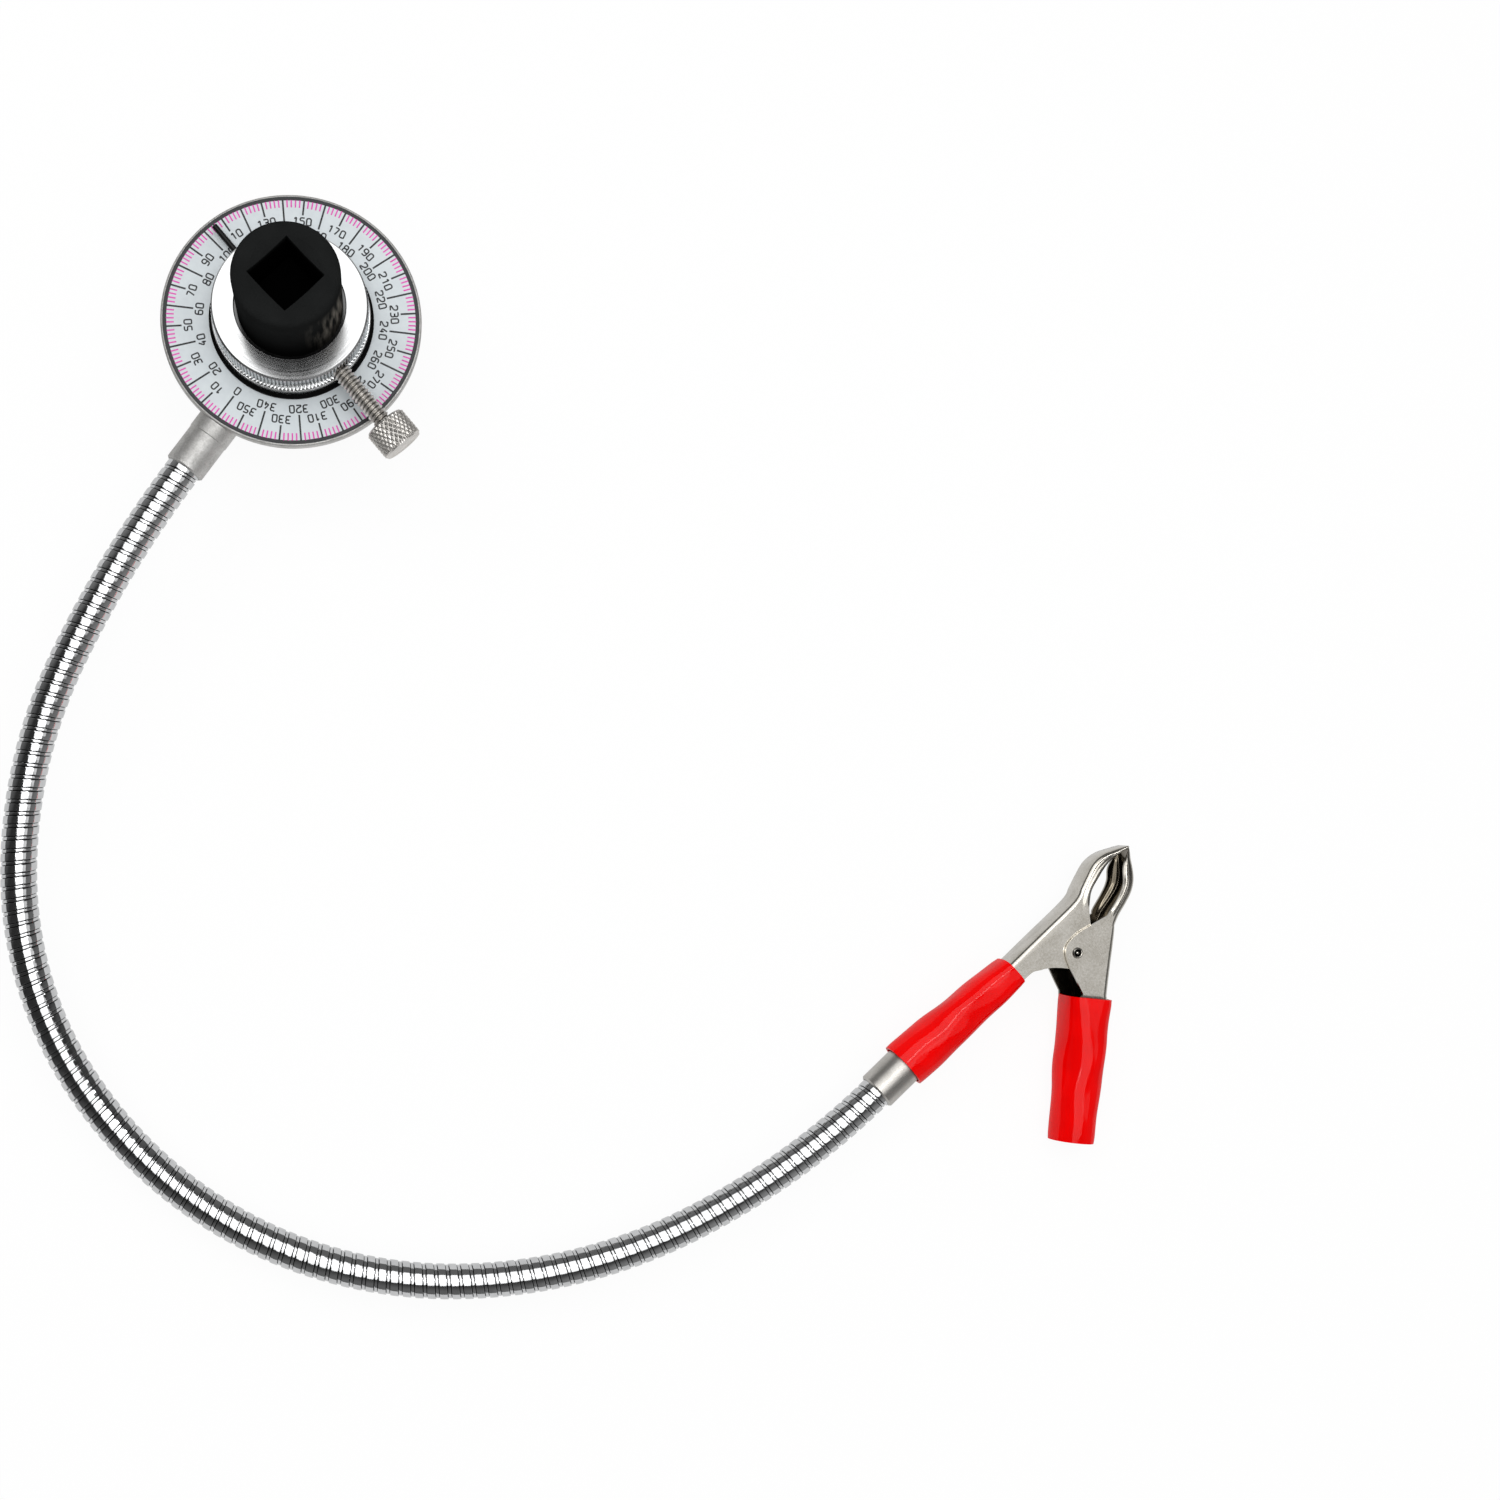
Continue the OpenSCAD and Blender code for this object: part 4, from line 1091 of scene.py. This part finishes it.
@dataclass
class Gooseneck:
    """The strip-wound hose, which follows round bends from joint to joint."""

    radius: float = 4.4 * MM
    pitch: float = 3.0 * MM
    groove: float = 0.6 * MM
    hold: float = 6.0 * MM
    rows_per_turn: int = 50
    columns: int = 49
    reach_of_bend: float = 24 * MM
    bends: int = 6
    points_per_bend: int = 40
    points_per_hold: int = 6

    def path(self, shop: Workshop, clip: ClipFrame) -> tuple[list[Vector], list[float], list[Vector]]:
        """Works out the hose's line as round bends, each leaving along the last one's end.

        Args:
            shop: What the sub-assemblies share.
            clip: Axes of the clip.

        Returns:
            Points along the line, the length at each joint from the start, and the joints with both ends.
        """
        stem_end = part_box("dial_housing")[0].y
        stops = [Vector((0, stem_end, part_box("gooseneck_1")[1].z - self.radius))]
        stops += [shop.joint(f"neck_bend_{k}")[0] for k in range(1, self.bends + 1)] + [clip.hose_end()]
        heading = Vector((0, -1, 0))
        ends = self.points_per_hold
        line = [stops[0] - heading * self.hold * (1 - k / ends) for k in range(ends)]
        lengths = []
        total = self.hold
        for one, two in zip(stops, stops[1:]):
            chord = two - one
            half = heading.angle(chord)
            bend = chord.length / (2 * math.sin(half))
            inward = (chord - heading * chord.dot(heading)).normalized()
            for k in range(self.points_per_bend):
                a = 2 * half * k / self.points_per_bend
                line.append(one + heading * (bend * math.sin(a)) + inward * (bend * (1 - math.cos(a))))
            total += 2 * half * bend
            lengths.append(total)
            heading = (chord.normalized() * 2 * chord.normalized().dot(heading) - heading).normalized()
        line += [stops[-1] + heading * self.hold * k / ends for k in range(ends + 1)]
        return line, lengths, stops

    def build(self, shop: Workshop, clip: ClipFrame) -> None:
        """Winds the hose in stretches that each bend about one joint."""
        line, lengths, stops = self.path(shop, clip)
        curve = bpy.data.curves.new("hose_line", "CURVE")
        curve.dimensions = "3D"
        spline = curve.splines.new("POLY")
        spline.points.add(len(line) - 1)
        for point, place in zip(spline.points, line):
            point.co = (*place, 1)
        row = self.pitch / self.rows_per_turn
        joints = lengths[:-1]
        cuts = [0.0] + [(a + b) / 2 for a, b in zip(joints, joints[1:])] + [lengths[-1] + self.hold - row]
        cuts = [round(c / row) * row for c in cuts]
        bodies = ["dial"] + [f"neck_{k}" for k in range(2, 7)] + ["clip"]
        for k in range(self.bends):
            start, end = cuts[k], cuts[k + 1]
            rows = round((end - start + self.pitch) / row) + 1
            shape = shop.hose.grow(shop.material(CHROME), curve, Start=start, End=end, Radius=self.radius,
                                   Pitch=self.pitch, Groove=self.groove, Rows=rows, Columns=self.columns)
            name = f"wound_hose_{k + 1}"
            replaced = [f"gooseneck_{k + 1}"] + ([f"gooseneck_{k + 2}"] if k == self.bends - 1 else [])
            made = shop.add_piece(name, shape, CHROME, None, replaced, 32)
            away = (stops[k + 2] - stops[k]).normalized() * self.reach_of_bend
            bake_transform(made, bodies[k + 1], bodies[k], start=tuple(stops[k + 1] + away),
                     end=tuple(stops[k + 1] - away))
        bpy.data.curves.remove(curve)
        shop.dress(SATIN, "end_ferrule")


@dataclass
class Section:
    """One cross-section of a folded jaw: its back and front edges, and its width."""

    back: Vector
    top: Vector
    bottom: Vector
    width: float
    bead: float


@dataclass
class Clip:
    """The spring clip: two folded jaws, the rivet, the spring and the vinyl grips."""

    sheet: float = 1.0
    fold: float = 1.3
    fixed_w: float = 10.4
    moving_w: float = 12.6
    nose: float = 30.0
    fixed_far: float = -22.0
    tip_w: float = 0.72
    grip_wall: float = 0.8
    grip_len: float = 38.0
    grip_lean: float = 0.16
    grip_lip: float = 0.096
    grip_slack: float = 0.18
    # Waves of the sleeves: depth, turns along and around, and share of the sleeve's own shift
    dents: tuple[tuple[float, ...], ...] = ((0.176, 9.5, 2, 1), (0.088, 17, -3, 2))
    ferrule_len: float = 9.9
    handle_start: float = 11.5
    handle_axis: float = 5.7
    stations: int = 46
    wire_r: float = 0.6
    spring_r: float = 3.7
    coil_gap: float = 0.1
    spring_turns: int = 4
    spring_foot: Point = (-13.1, 8.4)
    spring_toe: Point = (13.5, 8.85)

    def build(self, shop: Workshop, clip: ClipFrame) -> None:
        """Builds the jaws and grips, and dresses the rest."""
        for jaw, body, sections in (("fixed_jaw", "clip", self.fixed_sections(clip)),
                                    ("moving_jaw", "jaw", self.moving_sections(clip))):
            shape = self.folded(clip, sections)
            shop.add_piece(f"folded_{jaw}", shape, SHEET, body, [jaw], 42)
        self.grips(shop, clip)
        self.rivet(shop, clip)
        self.spring(shop, clip)

    def spring(self, shop: Workshop, clip: ClipFrame) -> None:
        """Winds the torsion spring, whose coil twists about the rivet as the jaw opens."""
        foot, toe = self.spring_foot, clip.handle(*self.spring_toe)
        r = self.spring_r
        start = math.atan2(foot[1], foot[0]) - math.acos(r / math.hypot(*foot))
        end = math.atan2(toe[1], toe[0]) + math.acos(r / math.hypot(*toe)) - math.tau * self.spring_turns
        half = (2 * self.wire_r + self.coil_gap) * (start - end) / math.tau / 2
        count = 40 * self.spring_turns
        path = [clip.at(*foot, -half)]
        for k in range(count + 1):
            a = start + (end - start) * k / count
            path.append(clip.at(r * math.cos(a), r * math.sin(a), half * (2 * k / count - 1)))
        path.append(clip.at(*toe, half))
        shape = wire(path, clip.z, self.wire_r * MM)
        made = shop.add_piece("wound_torsion_spring", shape, WIRE, None, ["torsion_spring"])
        inner = half - self.wire_r
        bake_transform(made, "clip", "jaw", start=tuple(clip.at(0, 0, -inner)), end=tuple(clip.at(0, 0, inner)))

    def rivet(self, shop: Workshop, clip: ClipFrame) -> None:
        """Builds the tubular rivet with its two rolled heads."""
        half = self.moving_w / 2 + 0.05
        head = [(0, 0.24), (0.25, 0.2), (0.42, 0.08), (0.5, 0.02), (0.88, 0.02), (0.92, 0.2), (1.0, 0.36),
                (1.12, 0.4), (1.3, 0.3), (1.43, 0.12), (1.45, 0), (1.0, 0)]
        profile = [(r, half + z) for r, z in head]
        # Painted shade: the hole's points take the rivet's near black recess colour
        hole, last = range(2, 6), 2 * len(head) - 1
        shape = bmesh.new()
        lathe(shape, profile + [(r, -z) for r, z in profile[::-1]], along(clip.origin, clip.z), 48,
              dark=[*hole, *(last - k for k in hole)])
        shop.add_piece("rolled_rivet", shape, RIVET, "clip", ["jaw_rivet"])

    def fixed_sections(self, clip: ClipFrame) -> list[Section]:
        """Cross-sections of the fixed jaw, from its tip into its grip."""
        n, o = self.nose, clip.rivet_offset
        far = self.fixed_far
        back = through([(n, o + 0.9), (n - 3.4, o + 2.8), (n - 6.8, o + 4.2), (n - 10.5, o + 4.4),
                        (n - 14.7, o + 3.1), (n - 17.5, o + 2.1), (n - 21.5, o + 0.9), (-5, o + 0.9),
                        (far, o + 0.9)], 400)
        front = through([(n, o + 0.55), (n - 6.8, o + 1.6), (n - 12.7, o + 0.5), (n - 16.2, o - 0.7),
                         (n - 19.5, o - 3.4), (8, 2.8), (4.2, -1.8), (2, -4.1), (0, -4.6), (-2.6, -3.8),
                         (-5.4, -0.4), (-8, 2), (-10.5, o - 5.9), (-13, o - 4.9), (far, o - 5)], 500)
        made = []
        for k in range(self.stations * 2 + 1):
            x = n + (far - n) * k / (self.stations * 2)
            one, two = (min(line, key=lambda p: abs(p.x - x)) for line in (back, front))
            nose = min(max((x - 9) / (n - 9), 0), 1)
            edge = Vector((x, two.y, 0))
            width = self.fixed_w * (1 - (1 - self.tip_w) * nose ** 2)
            made.append(Section(Vector((x, one.y, 0)), edge, edge, width, 0.55 * math.sin(math.pi * nose)))
        return made

    def moving_sections(self, clip: ClipFrame) -> list[Section]:
        """Cross-sections of the moving jaw, from its tip down its handle."""
        n, o = self.nose, clip.rivet_offset
        half = self.stations
        backs = through([(n - 0.2, o + 0.5), (n - 1.2, o - 1.4), (n - 4.3, o - 5.8), (n - 7.3, o - 8.1),
                         (n - 10.8, o - 9.3), (n - 14.8, o - 10.3), (n - 17.5, -2)], half)
        fronts = through([(n - 0.2, o + 0.45), (n - 5, o - 2.2), (n - 8.1, o - 5.2), (n - 11.9, o - 6.8),
                          (12.7, 1.4)], half)
        backs += through([(n - 17.5, -2), (10.8, -3.7), (3.4, -9.9), (-1.5, -14.1)], half)[1:]
        fronts += through([(12.7, 1.4), (8, 2.6), (4.3, 3.5), (1.8, 3.7), (-0.9, 3.3), (-2.7, 1.7),
                           (-3.9, -0.9), (-4.8, -4.4), (-6.1, -9.1)], half)[1:]
        made = []
        for k, (one, two) in enumerate(zip(backs, fronts)):
            nose = max(1 - k / (half - 1), 0)
            wide = 0.55 * max(k - half * 1.3, 0) / half + 0.4 * math.sin(math.pi * nose) ** 0.5
            made.append(Section(one, two, two + (two - one) * wide,
                                self.moving_w * (1 - (1 - self.tip_w * 0.82) * nose ** 1.5),
                                0.45 * math.sin(math.pi * nose)))
        # Inside the grip the handle is drawn in, out of sight
        for reach, deep, near, far, width in ((12.5, 10.2, 1.6, 0.6, 12.4), (15, 9.4, 2.6, 2.4, 10.5),
                                              (24, 8.6, 3, 2.8, 8)):
            one, two, three = (Vector((*clip.handle(reach, y), 0)) for y in (deep, near, far))
            made.append(Section(one, two, three, width, 0.0))
        return made

    def folded(self, clip: ClipFrame, sections: Sequence[Section]) -> Shape:
        """Lofts a folded sheet over its cross-sections.

        Args:
            clip: Axes of the clip.
            sections: Cross-sections, from one end to the other.

        Returns:
            The jaw.
        """
        rows = []
        for s in sections:
            depth = [(edge - s.back).length for edge in (s.top, s.bottom)]
            t = min(self.sheet, 0.42 * min(depth), 0.42 * s.width)
            outer = self.outline(s, depth, 0.0, min(self.fold, 0.8 * min(depth)))
            inner = self.outline(s, depth, t, max(min(self.fold, 0.8 * min(depth)) - t, 0.05))
            rows.append([clip.at(p.x, p.y, p.z) for p in outer + inner[::-1]])
        shape = bmesh.new()
        # The inner side of the sheet gets painted shade, the recess colour of the finish
        skin(shape, rows, recess=lambda _, i: float(i >= len(rows[0]) / 2))
        return shape

    def outline(self, s: Section, depth: Sequence[float], inset: float, fold: float) -> list[Vector]:
        """One side of a folded sheet's cross-section, from the top edge round the back to the bottom edge.

        Args:
            s: The cross-section.
            depth: Depth of the top and the bottom cheek.
            inset: Distance in from the outer side.
            fold: Radius of the two folds.

        Returns:
            Points in the clip's axes, in millimetres.
        """
        half = s.width / 2 - inset
        points = []
        for side, edge, reach in ((1, s.top, depth[0]), (-1, s.bottom, depth[1])):
            way = (edge - s.back).normalized() if reach > 1e-6 else Vector((0, -1, 0))
            root = inset + fold
            cheek = []
            for k in range(8):
                share = k / 7
                d = reach + (root - reach) * share
                swell = math.sin(math.pi * min(share * 1.15, 1)) ** 1.5
                cheek.append((d, half + s.bead * swell - s.bead * 0.4))
            drop = cheek[-1][1] - half
            for k in range(1, 6):
                a = math.pi / 2 * k / 5
                out = half - fold * (1 - math.cos(a)) + drop * math.cos(a)
                cheek.append((root - fold * math.sin(a), out))
            line = [s.back + way * d + Vector((0, 0, side * z)) for d, z in cheek]
            points += line if side > 0 else line[::-1]
        return points

    def grips(self, shop: Workshop, clip: ClipFrame) -> None:
        """Builds the two vinyl sleeves, with the soft dents of a hand-pushed sleeve."""
        def fixed(x: float) -> tuple[Vector, Vector, Vector, float, float, float]:
            """Centre, side, up, width, height and squareness of the fixed grip at a share of its length."""
            start = self.ferrule_len + self.grip_len * x - clip.rivet_reach
            centre = clip.at(start, clip.rivet_offset - 2 * x, 0)
            return centre, clip.y, clip.z, 13.3 - 4.5 * x ** 1.3, 13.3 - 1.1 * x, 2 + 1.2 * x

        def moving(x: float) -> tuple[Vector, Vector, Vector, float, float, float]:
            """The same for the moving grip."""
            reach = self.handle_start + self.grip_len * x
            centre = clip.at(*clip.handle(reach, self.handle_axis), 0)
            side = (clip.at(*clip.handle(0, 1), 0) - clip.origin).normalized()
            up = clip.z + side * self.grip_lean * min(x / 0.3, 1)
            return centre, side, up, 12.8 - 1.1 * x, 14.4 - 2.4 * x, 2.1 + 1.7 * (1 - x) ** 6

        for name, node, body, form, seed in (("fixed_sleeve", "fixed_grip", "clip", fixed, 0.6),
                                             ("moving_sleeve", "moving_grip", "jaw", moving, 2.1)):
            shop.add_piece(name, self.sleeve(form, seed), VINYL, body, [node], 50)

    def sleeve(self, form: Callable, phase: float) -> Shape:
        """Lofts one sleeve, out along its outer side and back along its inner side.

        Args:
            form: Gives the section at a share of the length.
            phase: Shifts the dents, so that no two sleeves are alike.

        Returns:
            The sleeve.
        """
        steps, sides = 48, 56
        rows = []
        for back in (False, True):
            for k in range(steps + 1):
                x = (steps - k if back else k) / steps
                centre, side, up, w, h, power = form(x)
                row = []
                for i in range(sides):
                    a = 2 * math.pi * i / sides
                    c, s = math.cos(a), math.sin(a)
                    bulge = (abs(c) ** power + abs(s) ** power) ** (-1 / power)
                    dent = sum(deep * math.sin(along_it * x + around * a + shift * phase)
                               for deep, along_it, around, shift in self.dents) * math.sin(math.pi * x)
                    from_end = min(x, 1 - x) * steps / 2
                    lip = self.grip_lip * max(1 - from_end, 0)
                    inset = (self.grip_wall if back else lip) + self.grip_slack - dent
                    across, over = c * bulge * (w / 2 - inset), s * bulge * (h / 2 - inset)
                    row.append(centre + (side * across + up * over) * MM)
                rows.append(row)
        shape = bmesh.new()
        skin(shape, rows + rows[:1])
        return shape


# Studio


@dataclass(frozen=True)
class Lamp:
    """An area lamp, placed from the gauge along the camera's axes, in metres."""

    name: str
    right: float
    up: float
    back: float
    wide: float
    tall: float
    watts: float
    mirrored: bool = True


# A large soft box with a bright strip, a dim card at its right, and a lamp that only casts light
LAMPS = (
    Lamp("box", 0.11, 0.2, 0.95, 0.8, 1.36, 5.2),
    Lamp("strip", 0.3, 0.2, 0.94, 0.08, 1.2, 1.8),
    Lamp("card", 0.84, -0.05, 0.95, 0.4, 0.7, 0.62),
    Lamp("top", -0.5, 0.6, 1.0, 0.5, 0.5, 1.8, mirrored=False))


@dataclass
class Studio:
    """Camera, lamps and floor."""

    right: Vector = Vector((0.81397, 0.56288, 0.14362))
    up: Vector = Vector((-0.57796, 0.80959, 0.10261))
    back: Vector = Vector((-0.05851, -0.16653, 0.9843))
    place: Vector = Vector((118.74, -126.59, 652.61)) * MM
    lens: float = 60.0
    floor_level: float = -0.15 * MM
    glow: float = 0.93
    mirrored_glow: float = 0.72
    room_level: float = 0.44
    floor_size: float = 3.0

    def build(self) -> None:
        """Sets up the view, the lamps and the floor."""
        scene = bpy.context.scene
        scene.view_settings.view_transform = "Standard"
        self.camera(scene)
        self.floor()
        self.world(scene)
        self.lamps()

    def camera(self, scene: bpy.types.Scene) -> None:
        """Sets the camera where the photograph was taken from."""
        data = bpy.data.cameras.new("view")
        data.lens, data.sensor_width = self.lens, 36.0
        data.clip_start, data.clip_end = 0.05, 20.0
        camera = bpy.data.objects.new("view", data)
        scene.collection.objects.link(camera)
        turn = Matrix((self.right, self.up, self.back)).transposed()
        camera.matrix_world = Matrix.Translation(self.place) @ turn.to_4x4()
        scene.camera = camera

    def floor(self) -> None:
        """Lays the white table, which keeps a part of the shadow."""
        shape = bmesh.new()
        bmesh.ops.create_grid(shape, x_segments=1, y_segments=1, size=self.floor_size)
        bmesh.ops.translate(shape, verts=shape.verts, vec=(0, 0, self.floor_level))
        mesh = bpy.data.meshes.new("table")
        shape.to_mesh(mesh)
        shape.free()
        made = bpy.data.materials.new("white_table")
        made.use_nodes = True
        tree = made.node_tree
        tree.nodes.clear()
        rays = add(tree, "ShaderNodeLightPath", out=None)
        seen = rays.outputs["Is Camera Ray"]
        for kind in ("Is Glossy Ray", "Is Transmission Ray"):
            seen = calc(tree, "MAXIMUM", seen, rays.outputs[kind])
        share = calc(tree, "MULTIPLY", seen, self.glow)
        level = remap(tree, rays.outputs["Is Glossy Ray"], 0.0, 1.0, 1.0, self.mirrored_glow)
        paint = add(tree, "ShaderNodeBsdfDiffuse", {"Color": linear("#f4f4f4")})
        shine = add(tree, "ShaderNodeEmission", {"Color": (1, 1, 1, 1), "Strength": level})
        surface = add(tree, "ShaderNodeMixShader", {0: share, 1: paint, 2: shine})
        add(tree, "ShaderNodeOutputMaterial", {"Surface": surface}, out=None)
        mesh.materials.append(made)
        piece("table", mesh)

    def world(self, scene: bpy.types.Scene) -> None:
        """Sets a dim room, with reflections that are black about the camera and grey at both sides."""
        made = bpy.data.worlds.new("room")
        made.use_nodes = True
        tree = made.node_tree
        tree.nodes.clear()
        gloss = add(tree, "ShaderNodeLightPath", out="Is Glossy Ray")
        way = add(tree, "ShaderNodeTexCoord", out="Generated")
        left = self.up * 0.5 - self.right * 0.866
        side = vector_calc(tree, "DOT_PRODUCT", way, tuple(left))
        left_wall = remap(tree, side, 0.6, 0.97, 0.03, 0.15)
        right_wall = remap(tree, side, -0.55, -0.95, 0.0, 0.18)
        walls = calc(tree, "ADD", left_wall, right_wall)
        ahead = vector_calc(tree, "DOT_PRODUCT", way, tuple(self.up))
        either = calc(tree, "ABSOLUTE", ahead)
        ends = remap(tree, either, 0.35, 0.85, 0.0, 0.11)
        walls = calc(tree, "ADD", walls, ends)
        level = add(tree, "ShaderNodeMix", {0: gloss, 2: self.room_level, 3: walls}, data_type="FLOAT")
        seen = add(tree, "ShaderNodeLightPath", out="Is Camera Ray")
        level = add(tree, "ShaderNodeMix", {0: seen, 2: level, 3: 1.0}, data_type="FLOAT")
        room = add(tree, "ShaderNodeBackground", {"Color": (1, 1, 1, 1), "Strength": level})
        add(tree, "ShaderNodeOutputWorld", {"Surface": room}, out=None)
        scene.world = made

    def lamps(self) -> None:
        """Hangs the lamps, all facing the gauge."""
        aim = Vector((0.12, -0.06, 0.02))
        for plan in LAMPS:
            data = bpy.data.lights.new(plan.name, "AREA")
            data.shape, data.energy = "RECTANGLE", plan.watts
            data.size, data.size_y = plan.wide, plan.tall
            lamp = bpy.data.objects.new(plan.name, data)
            lamp.visible_glossy = plan.mirrored
            bpy.context.scene.collection.objects.link(lamp)
            spot = aim + self.right * plan.right + self.up * plan.up + self.back * plan.back
            turn = (aim - spot).to_track_quat("-Z", "Y").to_matrix().to_4x4()
            lamp.matrix_world = Matrix.Translation(spot) @ turn


def main() -> None:
    """Builds the gauge's looks in order."""
    logging.basicConfig(level=logging.INFO, format="%(name)s %(message)s")
    shop = Workshop(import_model())
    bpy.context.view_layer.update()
    Studio().build()
    Drive().build(shop)
    Dial().build(shop)
    PointerRing().build(shop)
    Thumbscrew().build(shop)
    clip = ClipFrame.of(shop)
    Gooseneck().build(shop, clip)
    Clip().build(shop, clip)


if __name__ == "__main__":
    main()
